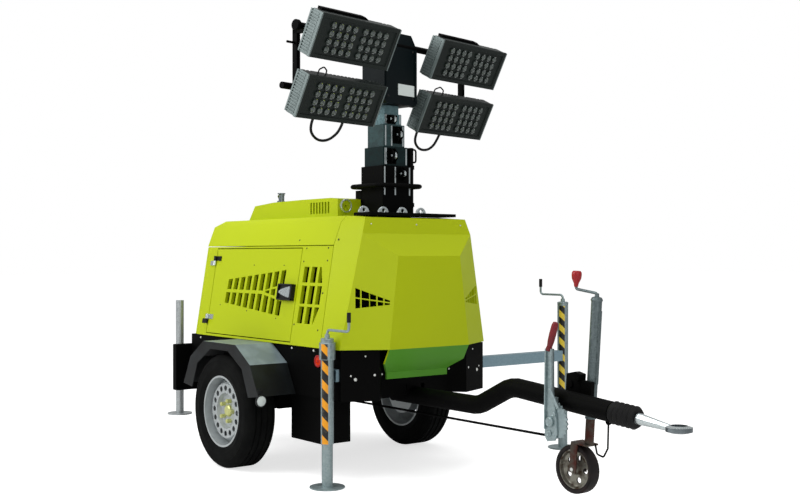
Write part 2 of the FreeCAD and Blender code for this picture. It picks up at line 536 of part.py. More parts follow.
door_loop = [("door_rear", rise("door_bottom")), ("door_front", rise("door_bottom")),
             ("door_front", rise("door_top")), ("door_rear", rise("door_top"))]
frame_hole = [("door_rear - door_gap", rise("door_bottom - door_gap")),
              ("door_front + door_gap", rise("door_bottom - door_gap")),
              ("door_front + door_gap", rise("door_top + door_gap")),
              ("door_rear - door_gap", rise("door_top + door_gap"))]
side_loop = [("canopy_rear + canopy_wall + seat", 0), ("canopy_joint - panel_gap", 0),
             ("canopy_joint - panel_gap", rise("gutter_z - panel_gap")),
             ("canopy_rear + canopy_wall + seat", rise("gutter_z - panel_gap"))]
for side, sign in SIDES:
    seat_at = (0, "%d * belt_half" % sign, "belt_z")
    lean = "%d * %s" % (sign, LEAN)
    sheet_body = pad("side_sheet_" + side, "XZ_Plane",
                     [side_loop, frame_hole] + panel_slots(),
                     "canopy_wall", at=seat_at, axis=X_AXIS, angle=lean, forward=sign > 0)
    leaf = pad("door_leaf_" + side, "XZ_Plane", [door_loop] + door_slots(),
               "door_wall", at=seat_at, axis=X_AXIS, angle=lean, forward=sign > 0)
    knuckles = {"door": [], "panel": []}
    for level in ("hinge_low_z", "hinge_high_z"):
        for part, start, reach in (("door", 0.5, 1), ("panel", -27.5, -1)):
            low = "%s + %s" % (rise(level), start)
            out = "%d * hinge_radius" % sign
            barrel = rod("hinge_barrel_%s_%s_%s" % (side, part, level), "hinge_radius", 27,
                         ("door_rear - door_gap / 2", out, low))
            edge = "door_rear - door_gap / 2"
            far = edge + " + %d * hinge_length" % reach
            x0, x1 = (edge, far) if reach > 0 else (far, edge)
            y0, y1 = (0, 4) if sign > 0 else (-4, 0)
            strap = box("hinge_leaf_%s_%s_%s" % (side, part, level), x0, x1, y0, y1, low, low + " + 27")
            knuckles[part] += [barrel, strap]
    y0, y1 = (0, "latch_proud") if sign > 0 else ("-latch_proud", 0)
    knuckles["door"].append(box("latch_case_" + side, "latch_x - latch_wide / 2", "latch_x + latch_wide / 2", y0, y1,
                                rise("latch_z - latch_high / 2"), rise("latch_z + latch_high / 2")))
    y0, y1 = ("latch_proud", "latch_proud + 9") if sign > 0 else ("-latch_proud - 9", "-latch_proud")
    knuckles["door"].append(box("latch_paddle_" + side, "latch_x - 8", "latch_x + latch_wide / 2 - 8", y0, y1,
                                rise("latch_z - latch_high / 2 + 14"), rise("latch_z + latch_high / 2 - 14")))
    door_hinges, panel_hinges = [place(compound("hinges_%s_%s" % (side, part), *knuckles[part]), seat_at, X_AXIS,
                                       lean) for part in ("door", "panel")]
    node("door_" + side, leaf, door_hinges)
    node("side_panel_" + side, sheet_body, panel_hinges)

node("rear_panel",
     pad("rear_sheet", "YZ_Plane", [[("-belt_half", "belt_z"), ("belt_half", "belt_z"),
                                     ("gutter_half", "gutter_z - panel_gap"),
                                     ("-gutter_half", "gutter_z - panel_gap")]],
         "canopy_wall", at=("canopy_rear", 0, 0)))

roof_line = [("gutter_half", "gutter_z"), ("eave_half", "eave_z"), ("roof_half", "roof_z")]
roof_inner = [("gutter_half - canopy_wall", "gutter_z - 1"), ("eave_half - canopy_wall", "eave_z - 6"),
              ("roof_half - 8", "roof_z - canopy_wall")]


def both(points):
    """Points of the left side followed by their mirror images."""
    return points + [("-(%s)" % y, z) for y, z in points[::-1]]


roof_outer = pad("roof_outer", "YZ_Plane", [both(roof_line)], "canopy_joint - panel_gap - canopy_rear",
                 at=("canopy_rear", 0, 0))
roof_hollow = pad("roof_hollow", "YZ_Plane", [both(roof_inner)],
                  "canopy_joint - canopy_rear", at=("canopy_rear + canopy_wall", 0, 0))
roof_rear = pad("roof_rear_slope", "XZ_Plane",
                [[("canopy_rear - 1", "eave_z"), ("rear_chamfer_x", "roof_z + 1"), ("canopy_rear - 1", "roof_z + 1")]],
                "2 * belt_half", at=(0, "-belt_half", 0), forward=False)
mast_hole = box("mast_hole", "mast_cover_x - running", "canopy_joint + 60", "-mast_cover_half - running",
                "mast_cover_half + running", "gutter_z", "roof_z + 10")
node("roof", cut("roof_shell", roof_outer, roof_hollow, roof_rear, mast_hole))


# Faceted cowl at the front
def cowl_points(inset, low):
    """Corners of the cowl, moved inwards by an inset, with its foot at a level."""
    table = {
        "foot": (S.canopy_joint, S.belt_half, low), "gutter": (S.canopy_joint, S.gutter_half, S.gutter_z),
        "eave": (S.canopy_joint, S.eave_half, S.eave_z), "roof": (S.canopy_joint, S.roof_half, S.roof_z),
        "corner": (S.corner_x, S.belt_half - 8, low), "brow": (S.brow_x, S.brow_half, S.brow_z),
        "crown": (S.brow_top_x, S.brow_top_half, S.roof_z - 12),
        "nose_top": (S.nose_top_x, S.nose_top_half, S.nose_top_z), "nose": (S.nose_x, S.nose_half, low)}
    points = {}
    for key, (x, y, z) in table.items():
        back = 1 if x == S.canopy_joint and inset else inset
        down = inset if z > S.gutter_z else 0
        points[key] = Vector(x - back, y - inset, z - down)
        points["other_" + key] = Vector(x - back, inset - y, z - down)
    return points


HALF_FACES = [["foot", "corner", "brow"], ["foot", "brow", "gutter"], ["gutter", "brow", "eave"],
              ["eave", "brow", "crown"], ["eave", "crown", "roof"], ["corner", "nose", "nose_top"],
              ["corner", "nose_top", "brow"]]
COWL_FACES = HALF_FACES + [["other_" + key for key in face[::-1]] for face in HALF_FACES] + [
    ["brow", "nose_top", "other_nose_top", "other_brow"], ["crown", "brow", "other_brow", "other_crown"],
    ["nose", "other_nose", "other_nose_top", "nose_top"], ["roof", "crown", "other_crown", "other_roof"],
    ["foot", "gutter", "eave", "roof", "other_roof", "other_eave", "other_gutter", "other_foot"],
    ["foot", "other_foot", "other_corner", "other_nose", "nose", "corner"]]
cowl = cut("cowl_shell", polyhedron("cowl_outer", cowl_points(0, S.belt_z), COWL_FACES),
           polyhedron("cowl_hollow", cowl_points(S.canopy_wall, S.belt_z - 1), COWL_FACES),
           box("cowl_mast_hole", "canopy_joint - 5", "mast_x + mast_base_side / 2 + 3 * running",
               "-mast_cover_half - running", "mast_cover_half + running", "gutter_z", "roof_z + 10"))
apron_line = [(S.nose_x, S.nose_half, S.belt_z), (S.apron_fold_x, S.nose_half, S.apron_fold_z),
              (S.apron_x, S.apron_half, S.apron_z), (S.apron_x, S.apron_half, S.apron_lip_z)]
sections = []
for x, y, z in apron_line:
    back = x - S.apron_wall
    sections.append((Vector(x, y, z), Vector(x, -y, z), Vector(back, -y, z), Vector(back, y, z)))
apron_parts = []
for index in range(len(sections) - 1):
    above, below = sections[index], sections[index + 1]
    names = {("a", k): above[k] for k in range(4)} | {("b", k): below[k] for k in range(4)}
    faces = [[("a", 0), ("a", 1), ("a", 2), ("a", 3)], [("b", 3), ("b", 2), ("b", 1), ("b", 0)]]
    for k in range(4):
        n = (k + 1) % 4
        faces += [[("a", k), ("b", k), ("b", n)], [("a", k), ("b", n), ("a", n)]]
    apron_parts.append(polyhedron("apron_%d" % index, names, faces))
node("front_cowl", cowl, *apron_parts)

# Roof fittings
duct_line = [("duct_rear", "roof_z"), ("duct_crown", "duct_z - 18"), ("duct_crown + 200", "duct_z - 4"),
             ("duct_crown + 500", "duct_z"), ("duct_end", "duct_z"), ("duct_end", "roof_z")]
snout_line = [("duct_end", "roof_z"), ("duct_end", "duct_z"), ("duct_front", "duct_front_z"),
              ("duct_front", "roof_z")]
node("roof_duct", pad("duct", "XZ_Plane", [duct_line], "2 * duct_half", at=(0, "duct_half", 0)),
     pad("duct_snout", "XZ_Plane", [snout_line], "duct_half - mast_cover_half - running",
         at=(0, "-mast_cover_half - running", 0)))
node("exhaust_pipe", rod("exhaust_stack", "exhaust_radius", "exhaust_top - duct_z + 14",
                         ("exhaust_x", "exhaust_y", "duct_z - 14")),
     rod("exhaust_flap", "exhaust_radius + 6", 6, ("exhaust_x", "exhaust_y", "exhaust_top")))
tray = box("lug_tray", "lug_plate_x0", "lug_plate_x1", "-lug_plate_half", "lug_plate_half",
           "lug_plate_z0", "lug_plate_z1")
lugs = []
for index, y in enumerate((-255, -130, -5, 120)):
    disc = rod("lug_disc_%d" % index, "lug_radius", "lug_wall", ("lug_x", y, "lug_plate_z1"), Y_AXIS, 90)
    hole = rod("lug_hole_%d" % index, "lug_slot", 40, ("lug_x + 20", y, "lug_plate_z1 + 14"), Y_AXIS, -90)
    lower = box("lug_lower_%d" % index, "lug_x - 60", "lug_x + 60", y - 60, y + 60, "lug_plate_z1 - 80",
                "lug_plate_z1")
    lugs.append(cut("lug_%d" % index, disc, hole, lower))
node("lug_plate", tray, *lugs)
node("engine_block", box("engine", "engine_x0", "engine_x1", "-engine_half", "engine_half",
                         "frame_bottom + frame_wall + floor_wall", "engine_top"))

# Mast: a fixed outer tube and four telescoping sections
def square_tube(name, wide, wall, low, high):
    """Upright square tube about the mast axis."""
    half, hollow = "(%s) / 2" % wide, "(%s) / 2 - (%s)" % (wide, wall)
    outer = box(name + "_outer", "mast_x - " + half, "mast_x + " + half, "-" + half, half, low, high)
    inner = box(name + "_inner", "mast_x - (%s)" % hollow, "mast_x + " + hollow, "-(%s)" % hollow, hollow,
                "(%s) - 1" % low, "(%s) + 1" % high)
    return cut(name, outer, inner)


def wear_pads(name, outer, wall, inner, top):
    """Pads at the head of a tube that guide the section inside it."""
    hollow, guide = "(%s) / 2 - (%s)" % (outer, wall), "(%s) / 2 + slide_gap" % inner
    half = "(%s) / 4" % inner
    low, high = "(%s) - pad_height" % top, "(%s) - 8" % top
    return [box("%s_pad_front" % name, "mast_x + " + guide, "mast_x + " + hollow, "-" + half, half, low, high),
            box("%s_pad_rear" % name, "mast_x - (%s)" % hollow, "mast_x - (%s)" % guide, "-" + half, half,
                low, high),
            box("%s_pad_left" % name, "mast_x - " + half, "mast_x + " + half, guide, hollow, low, high),
            box("%s_pad_right" % name, "mast_x - " + half, "mast_x + " + half, "-(%s)" % hollow,
                "-(%s)" % guide, low, high)]


node("mast_base", square_tube("base_tube", "mast_base_side", "mast_base_wall", "frame_bottom + frame_wall + floor_wall", "mast_base_top"),
     box("mast_plate", "mast_x - mast_base_side / 2", "mast_x + mast_base_side / 2", "-mast_base_side / 2",
         "mast_base_side / 2", "frame_bottom + frame_wall + floor_wall", "section_foot - seat"),
     *wear_pads("base", "mast_base_side", "mast_base_wall", "section_1_side", "mast_base_top"),
     box("mast_cover", "mast_cover_x", "mast_x - mast_base_side / 2", "-mast_cover_half", "mast_cover_half",
         "gutter_z", "mast_cover_top"))
for index in (1, 2, 3):
    name = "section_%d" % index
    node("mast_" + name, square_tube(name, name + "_side", "section_wall", "section_foot", name + "_top"),
         *wear_pads(name, name + "_side", "section_wall", "section_%d_side" % (index + 1), name + "_top"))
node("mast_section_4", box("section_4", "mast_x - section_4_side / 2", "mast_x + section_4_side / 2",
                           "-section_4_side / 2", "section_4_side / 2", "section_foot", "section_4_top"))
hoop_out = S.mast_base_side / 2 + S.hoop_reach
hoop_corners = [Vector(S.mast_x + x, y, S.hoop_z) for x, y in
                ((hoop_out, 0), (hoop_out, hoop_out), (-hoop_out, hoop_out), (-hoop_out, -hoop_out),
                 (hoop_out, -hoop_out), (hoop_out, 0))]
hoop = bent_rod("hoop_ring", hoop_corners, S.hoop_bend, S.hoop_radius)
stays = [box("hoop_stay_%d" % k, "mast_x - 15", "mast_x + 15",
             "%d * (mast_base_side / 2 + hoop_reach / 2) - hoop_reach / 2" % k,
             "%d * (mast_base_side / 2 + hoop_reach / 2) + hoop_reach / 2" % k, "hoop_z - 4", "hoop_z + 4")
         for k in (-1, 1)]
node("mast_hoop", hoop, *stays)

# Head with its two bars and four lamps, turned about the mast
def yawed(name, *members):
    """Members of the head, turned to the head's own direction."""
    return place(compound(name, *members), ("mast_x", 0, 0), Z_AXIS, "head_yaw")


LAMP_ROWS = (("upper", "lamp_upper_x", "lamp_upper_z"), ("lower", "lamp_lower_x", "lamp_lower_z"))
head_line = [("head_rear", "section_4_top + seat"), ("head_front", "section_4_top + seat"),
             ("head_front", "head_top - head_slope"), ("head_front - head_slope", "head_top"),
             ("head_rear + 20", "head_top"), ("head_rear", "head_top - 20")]
case = pad("head_case", "XZ_Plane", [head_line], "2 * head_half", at=(0, "head_half", 0))
bars = []
for row, x, z in LAMP_ROWS:
    bars.append(rod("bar_" + row, "bar_radius", "2 * bar_half",
                    (x + " - bar_back * cos(lamp_tilt * 1 deg)", "bar_half",
                     z + " + bar_back * sin(lamp_tilt * 1 deg)"), X_AXIS, 90))
node("lamp_head", yawed("head_turned", fuse("head_whole", case, *bars)))
for row, x, z in LAMP_ROWS:
    for side, sign in SIDES:
        name = "%s_%s" % (row, side)
        case = pad("lamp_case_" + name, "XZ_Plane",
                   [[(0, "-lamp_height / 2"), (0, "lamp_height / 2"), ("-lamp_depth + 14", "lamp_height / 2"),
                     ("-lamp_depth", "lamp_height / 2 - 14"), ("-lamp_depth", "-lamp_height / 2 + 14"),
                     ("-lamp_depth + 14", "-lamp_height / 2")]],
                   "lamp_width", at=(0, "lamp_width / 2", 0))
        window = box("lamp_window_" + name, "-lamp_bezel_depth", 1, "-lamp_width / 2 + lamp_bezel",
                     "lamp_width / 2 - lamp_bezel", "-lamp_height / 2 + lamp_bezel",
                     "lamp_height / 2 - lamp_bezel")
        fins = [box("lamp_fin_gap_%s_%d" % (name, k), "-lamp_depth - 1", "-lamp_depth + fin_depth",
                    "%d * fin_pitch - fin_gap / 2" % k, "%d * fin_pitch + fin_gap / 2" % k,
                    "-lamp_height / 2 - 1", "lamp_height / 2 + 1")
                for k in range(-int(S.fin_count), int(S.fin_count) + 1) if abs(k) * S.fin_pitch < 110 or
                abs(k) * S.fin_pitch > 190]
        arms = []
        for k in (-1, 1):
            foot = "%d * clamp_spread - clamp_width / 2" % k
            arm = box("lamp_arm_%s_%d" % (name, k), "-bar_back", "-lamp_depth", foot, foot + " + clamp_width",
                      "-clamp_radius", "clamp_radius")
            ring = rod("lamp_ring_%s_%d" % (name, k), "clamp_radius", "clamp_width", ("-bar_back", foot, 0),
                       X_AXIS, -90)
            arms.append(fuse("lamp_clamp_%s_%d" % (name, k), arm, ring))
        way = rod("lamp_bore_" + name, "bar_radius + seat / 3", "lamp_width", ("-bar_back", "-lamp_width / 2", 0),
                  X_AXIS, -90)
        finned = cut("lamp_finned_" + name, case, window, *fins)
        body = cut("lamp_body_" + name, fuse("lamp_joined_" + name, finned, *arms), way)
        tilted = place(compound("lamp_tilted_" + name, body), (x, "%d * lamp_side" % sign, z), Y_AXIS,
                       "lamp_tilt")
        node("lamp_" + name, yawed("lamp_turned_" + name, tilted))

# Front stabilisers: arm, tube with its bracket, leg with foot and crank
TUBE_Z = {"right": "stab_right_z", "left": "stab_left_z"}
OUT = {"right": "0", "left": "stab_reach"}
for side, sign in SIDES:
    x, z = ARM_X[side], TUBE_Z[side]
    y = "%d * (stab_home_y + %s)" % (sign, OUT[side])
    inner_end = "%d * (stab_home_y + %s - arm_length)" % (sign, OUT[side])
    tip = "%d * (stab_home_y + %s - stab_tube_radius)" % (sign, OUT[side])
    low, high = (inner_end, tip) if sign > 0 else (tip, inner_end)
    solid = box("arm_outer_" + side, x + " - arm_side / 2", x + " + arm_side / 2", low, high,
                "arm_z - arm_side / 2", "arm_z + arm_side / 2")
    hollow = box("arm_inner_" + side, x + " - arm_side / 2 + arm_wall", x + " + arm_side / 2 - arm_wall",
                 "(%s) - 1" % low, "(%s) + 1" % high, "arm_z - arm_side / 2 + arm_wall",
                 "arm_z + arm_side / 2 - arm_wall")
    node("stabiliser_arm_" + side, cut("arm_tube_" + side, solid, hollow))
    jack = tube("stab_tube_" + side, "stab_tube_radius", "stab_tube_wall", "stab_tube_length", (x, y, z))
    leg = rod("stab_leg_" + side, "stab_tube_radius - stab_tube_wall - slide_gap", "stab_leg_length", (x, y, 0))
    foot = rod("stab_foot_" + side, "stab_foot_radius", "stab_foot_height", (x, y, 0))
    node("stabiliser_leg_" + side, leg, foot)
    top = "%s + stab_tube_length" % z
    cap = rod("crank_cap_" + side, "stab_tube_radius", 8, (x, y, top))
    post = rod("crank_post_" + side, "crank_radius + 3", "crank_lift", (x, y, top + " + 7"))
    arm = box("crank_arm_" + side, x, x + " + crank_arm", "(%s) - crank_radius" % y, "(%s) + crank_radius" % y,
              top + " + crank_lift - 7", top + " + crank_lift + 7")
    grip = rod("crank_grip_" + side, "crank_radius", "crank_grip", (x + " + crank_arm - 7", y, top + " + crank_lift"))
    node("stabiliser_tube_" + side, jack, cap, post, arm, grip)

# Drawbar, overrun coupling, brake lever and jockey wheel
drawbar_points = [Vector(S.drawbar_start_x, 0, S.drawbar_low_z), Vector(S.drawbar_low_x, 0, S.drawbar_low_z),
                  Vector(S.drawbar_high_x, 0, S.drawbar_high_z), Vector(S.drawbar_end_x, 0, S.drawbar_end_z)]
node("drawbar", bent_rod("drawbar_tube", drawbar_points, S.drawbar_bend, S.drawbar_radius,
                         S.drawbar_radius - S.drawbar_wall))
slope = "atan((drawbar_high_z - drawbar_end_z) / (drawbar_end_x - drawbar_high_x))"
fold = "bellows_length / bellows_folds"
folds = [(0, 0)]
for k in range(int(S.bellows_folds)):
    folds += [("bellows_radius - 9", "%d * %s" % (k, fold)), ("bellows_radius", "%s * %s" % (k + 0.5, fold))]
folds += [("bellows_radius - 9", "bellows_length"), (0, "bellows_length")]
bellows = revolve("bellows_turned", folds, ("drawbar_end_x", 0, "drawbar_end_z"), Y_AXIS, "90 deg + " + slope)
node("coupling_bellows", bellows)
eye_ring = revolve("eye_ring", [("eye_bore", "-eye_height / 2"), ("eye_outer", "-eye_height / 2 + 6"),
                                ("eye_outer", "eye_height / 2 - 6"), ("eye_bore", "eye_height / 2")],
                   ("eye_x", 0, "eye_z"))
cone = doc.addObject("Part::Cone", "eye_cone")
cone.setExpression("Radius1", bound("shaft_radius"))
cone.setExpression("Radius2", bound("eye_height / 2 - 2"))
cone.setExpression("Height", bound("eye_x - eye_outer - drawbar_end_x - bellows_length + 18"))
place(cone, ("drawbar_end_x + (bellows_length + seat) * cos(%s) + shaft_radius * sin(%s)" % (slope, slope), 0,
             "drawbar_end_z - (bellows_length + seat) * sin(%s)" % slope), Y_AXIS, "90 deg + 1.4 * " + slope)
eye_shaft = cut("eye_shaft", cone, rod("eye_hole", "eye_bore", 200, ("eye_x", 0, "eye_z - 100")))
node("towing_eye", eye_ring, eye_shaft)
node("brake_rod", rod("brake_bar", "brake_rod_radius", "lever_x - axle_tube_x - axle_tube / 2 - 20",
                      ("axle_tube_x + axle_tube / 2", 0, "brake_rod_z"), Y_AXIS, 90))
lever_y0, lever_y1 = "-lever_y", "-lever_y + lever_wall"
sector = pad("brake_sector", "XZ_Plane",
             [[("lever_x - 42", "lever_bottom"), ("lever_x + 30", "lever_bottom"), ("lever_x + 86", "lever_bottom + 62"),
               ("lever_x + 78", "lever_bottom + 112"), ("lever_x + 20", "lever_bottom + 190"),
               ("lever_x - 42", "lever_bottom + 190")]], "lever_wall", at=(0, "-drawbar_radius - 22", 0))
spacer = cut("brake_spacer", box("brake_block", "lever_x - 40", "lever_x + 18", "-drawbar_radius - 23", "-10",
                                 "lever_bottom + 128", "lever_bottom + 186"),
             rod("brake_block_way", "drawbar_radius + seat", "drawbar_end_x - drawbar_high_x",
                 ("drawbar_high_x", 0, "drawbar_high_z"), Y_AXIS, "90 deg + " + slope))
node("brake_lever", box("lever_bar", "lever_x - lever_width / 2", "lever_x + lever_width / 2", lever_y0, lever_y1,
                        "lever_bottom", "lever_top"),
     rod("lever_grip", "grip_radius", "grip_length", ("lever_x", lever_y0 + " + lever_wall / 2", "lever_top - 2")),
     rod("lever_pivot", 12, "lever_y - drawbar_radius - 22", ("lever_x", lever_y0, "lever_bottom + 80"), X_AXIS, -90),
     sector, spacer)

JOCKEY_FOOT = ("jockey_x", "jockey_y", "drawbar_end_z")


def leaning(name, *members):
    """Members of the jockey wheel, leaned with its tube about the drawbar's level."""
    return place(compound(name, *members), JOCKEY_FOOT, Y_AXIS, "jockey_lean")


node("jockey_clamp", leaning("jockey_clamp_leaned", box(
    "jockey_block", "-60", "jockey_radius + 12", "-jockey_y + drawbar_radius + seat", "-jockey_radius - seat",
    "-20", "jockey_clamp_height")))
node("jockey_tube", leaning("jockey_tube_leaned", tube(
    "jockey_outer", "jockey_radius", "jockey_wall", "jockey_top - jockey_bottom",
    (0, 0, "jockey_bottom - drawbar_end_z"))))
fork = box("jockey_fork", "-jockey_trail - 12", 20, "-jockey_wheel_width / 2 - 8", "jockey_wheel_width / 2 + 8",
           "jockey_axle_z + jockey_wheel_radius + 8 - drawbar_end_z",
           "jockey_axle_z + jockey_wheel_radius + 16 - drawbar_end_z")
cheeks = [box("jockey_cheek_%d" % k, "-jockey_trail - 14", "-jockey_trail + 24",
              "%d * (jockey_wheel_width / 2 + slide_gap + 3.5) - 3" % k,
              "%d * (jockey_wheel_width / 2 + slide_gap + 3.5) + 3" % k,
              "jockey_axle_z - 14 - drawbar_end_z", "jockey_axle_z + jockey_wheel_radius + 9 - drawbar_end_z")
          for k in (-1, 1)]
node("jockey_leg", leaning("jockey_leg_leaned", rod(
    "jockey_inner", "jockey_radius - jockey_wall - slide_gap", "jockey_top - jockey_leg_bottom - 160",
    (0, 0, "jockey_axle_z + jockey_wheel_radius + 8 - drawbar_end_z")), fork, *cheeks))
node("jockey_wheel", leaning("jockey_wheel_leaned", rod(
    "jockey_tyre", "jockey_wheel_radius", "jockey_wheel_width",
    ("-jockey_trail", "jockey_wheel_width / 2", "jockey_axle_z - drawbar_end_z"), X_AXIS, 90)))

# Check and export
doc.recompute()
for item in doc.Objects:
    if "Invalid" in item.State or "Error" in item.State:
        raise RuntimeError("%s is %s" % (item.Name, item.State))
for piece in NODES:
    if piece.Shape.isNull() or not piece.Shape.isValid() or not piece.Shape.Solids:
        raise RuntimeError("%s has no valid solid" % piece.Label)
    piece.Shape.exportStep("parts/%s.step" % piece.Label)
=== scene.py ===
"""Looks of a mobile light tower on a single-axle trailer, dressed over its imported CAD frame.

Places are written in millimetres about the point on the ground under the axle, with X forward,
Y to the left and Z up, and `to_frame` turns them into the frame's metres about the towing eye.
"""

from __future__ import annotations

import json
import logging
import math
from dataclasses import dataclass, field
from enum import Enum
from typing import Any, Callable, Iterable, Sequence

import bmesh
import bpy
from mathutils import Matrix, Vector

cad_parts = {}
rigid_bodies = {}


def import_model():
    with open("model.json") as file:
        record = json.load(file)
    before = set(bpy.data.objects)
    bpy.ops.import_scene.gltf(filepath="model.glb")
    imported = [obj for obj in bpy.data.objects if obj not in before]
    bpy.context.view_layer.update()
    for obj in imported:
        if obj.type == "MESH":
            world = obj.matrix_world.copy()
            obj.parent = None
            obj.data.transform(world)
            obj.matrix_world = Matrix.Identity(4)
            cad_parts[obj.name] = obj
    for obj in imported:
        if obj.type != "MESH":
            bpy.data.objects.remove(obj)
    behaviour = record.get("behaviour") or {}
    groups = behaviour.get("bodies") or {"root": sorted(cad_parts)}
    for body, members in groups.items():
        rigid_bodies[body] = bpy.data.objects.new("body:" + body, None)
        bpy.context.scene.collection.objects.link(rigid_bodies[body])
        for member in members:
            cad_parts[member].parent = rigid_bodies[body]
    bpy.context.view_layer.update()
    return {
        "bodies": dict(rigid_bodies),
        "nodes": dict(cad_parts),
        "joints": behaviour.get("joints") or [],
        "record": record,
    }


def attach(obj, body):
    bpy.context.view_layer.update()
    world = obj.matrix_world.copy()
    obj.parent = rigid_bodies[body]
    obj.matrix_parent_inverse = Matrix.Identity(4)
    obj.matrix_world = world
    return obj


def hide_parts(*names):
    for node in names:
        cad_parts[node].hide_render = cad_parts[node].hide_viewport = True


log = logging.getLogger("light_tower")

EYE = Vector((2483.0, 0.0, 450.0))  # centre of the towing eye, the frame's origin
X_WAY, Y_WAY, Z_WAY = Vector((1, 0, 0)), Vector((0, 1, 0)), Vector((0, 0, 1))


class Side(Enum):
    """Side of the trailer, with the sign of its Y."""

    LEFT = 1
    RIGHT = -1

    @property
    def word(self) -> str:
        """Lower-case name, as the CAD nodes use it."""
        return self.name.lower()


class Row(Enum):
    """Row of lamps: how far ahead of the mast and how high its front faces stand."""

    UPPER = (217.0, 2186.0)
    LOWER = (121.0, 1906.0)

    @property
    def word(self) -> str:
        """Lower-case name, as the CAD nodes use it."""
        return self.name.lower()


class Head(Enum):
    """Kind of fastener head."""

    RIVET = "rivet"
    DOME = "dome"


def to_frame() -> Matrix:
    """Matrix from millimetres about the ground under the axle to the frame's metres."""
    return Matrix.Scale(0.001, 4) @ Matrix.Translation(-EYE)


def facing(origin: Vector, normal: Vector, up: Vector = Z_WAY) -> Matrix:
    """Placement whose Z is a normal and whose Y leans as near to up as it can.

    Args:
        origin: Where the placement stands.
        normal: Direction of its Z.
        up: Direction that its Y follows.

    Returns:
        The placement as a matrix.
    """
    z = normal.normalized()
    guide = up if abs(z.dot(up)) < 0.999 * up.length else X_WAY
    x = guide.cross(z).normalized()
    y = z.cross(x)
    turn = Matrix((x, y, z)).transposed().to_4x4()
    return Matrix.Translation(origin) @ turn


def add_node(tree: Any, kind: str, inputs: dict[Any, Any] | None = None, **settings: Any) -> Any:
    """Add a node to a shader or geometry tree.

    Args:
        tree: Node tree that gets the node.
        kind: Type name of the node.
        inputs: Values or sockets for its inputs, by name or by number.
        settings: Values for the node's own properties.

    Returns:
        The node.
    """
    node = tree.nodes.new(kind)
    for key, value in settings.items():
        setattr(node, key, value)
    for key, value in (inputs or {}).items():
        if isinstance(value, bpy.types.NodeSocket):
            tree.links.new(value, node.inputs[key])
        else:
            node.inputs[key].default_value = value
    return node


def linear(colour: str) -> tuple[float, float, float, float]:
    """Linear colour of an sRGB hex value such as #B7C91C."""
    parts = [int(colour[i:i + 2], 16) / 255 for i in (1, 3, 5)]
    return (*[p / 12.92 if p <= 0.04045 else ((p + 0.055) / 1.055) ** 2.4 for p in parts], 1.0)


def per_mm(size: float) -> float:
    """Texture scale, in repeats per metre, of a pattern of that size in millimetres."""
    return 1000.0 / size


# Finishes


@dataclass(frozen=True)
class Finish:
    """Plain finish that the others build on."""

    name: str
    colour: str
    roughness: float = 0.5
    metallic: float = 0.0
    slot: str = "black_frame"
    specular: float = 0.5

    def material(self) -> bpy.types.Material:
        """Material of this finish, made at its first use."""
        known = bpy.data.materials.get(self.name)
        if known:
            return known
        made = bpy.data.materials.new(self.name)
        made.use_nodes = True
        tree = made.node_tree
        tree.nodes.clear()
        place = add_node(tree, "ShaderNodeTexCoord").outputs["Object"]
        shader = add_node(tree, "ShaderNodeBsdfPrincipled", {
            "Base Color": linear(self.colour), "Roughness": self.roughness, "Metallic": self.metallic,
            "Specular IOR Level": self.specular})
        self.pattern(tree, place, shader)
        add_node(tree, "ShaderNodeOutputMaterial", {"Surface": shader.outputs[0]})
        made.diffuse_color = linear(self.colour)
        return made

    def pattern(self, tree: Any, place: Any, shader: Any) -> None:
        """Link this finish's detail into its shader.

        Args:
            tree: Shader tree.
            place: Socket of the object coordinates, in metres.
            shader: Principled shader.
        """

    def blotch(self, tree: Any, place: Any, size: float, low: float, high: float,
               detail: float = 3.0) -> Any:
        """Noise of a size in millimetres, stretched between two limits, as a factor socket."""
        noise = add_node(tree, "ShaderNodeTexNoise", {"Vector": place, "Scale": per_mm(size), "Detail": detail})
        ramp = add_node(tree, "ShaderNodeMapRange", {"Value": noise.outputs[0], "From Min": low, "From Max": high})
        return ramp.outputs[0]

    def mixed(self, tree: Any, factor: Any, first: Any, second: Any) -> Any:
        """Colour between two, which are hex values or sockets."""
        ends = [linear(c) if isinstance(c, str) else c for c in (first, second)]
        mix = add_node(tree, "ShaderNodeMix", {"Factor": factor, 6: ends[0], 7: ends[1]}, data_type="RGBA")
        return mix.outputs[2]

    def tinted(self, tree: Any, factor: Any, other: Any, shader: Any) -> None:
        """Base colour that goes from the finish's own to another."""
        tree.links.new(self.mixed(tree, factor, self.colour, other), shader.inputs["Base Color"])

    def varied(self, tree: Any, factor: Any, socket: Any, low: float, high: float,
               start: float = 0.0, end: float = 1.0) -> None:
        """Value of a shader's socket that goes from low to high while a factor goes from start to end."""
        ramp = add_node(tree, "ShaderNodeMapRange", {"Value": factor, "From Min": start, "From Max": end,
                                                     "To Min": low, "To Max": high})
        tree.links.new(ramp.outputs[0], socket)

    def relief(self, tree: Any, height: Any, shader: Any, depth: float, strength: float) -> None:
        """Bump of a depth in millimetres on the shader."""
        bump = add_node(tree, "ShaderNodeBump", {"Height": height, "Distance": depth / 1000, "Strength": strength})
        tree.links.new(bump.outputs[0], shader.inputs["Normal"])


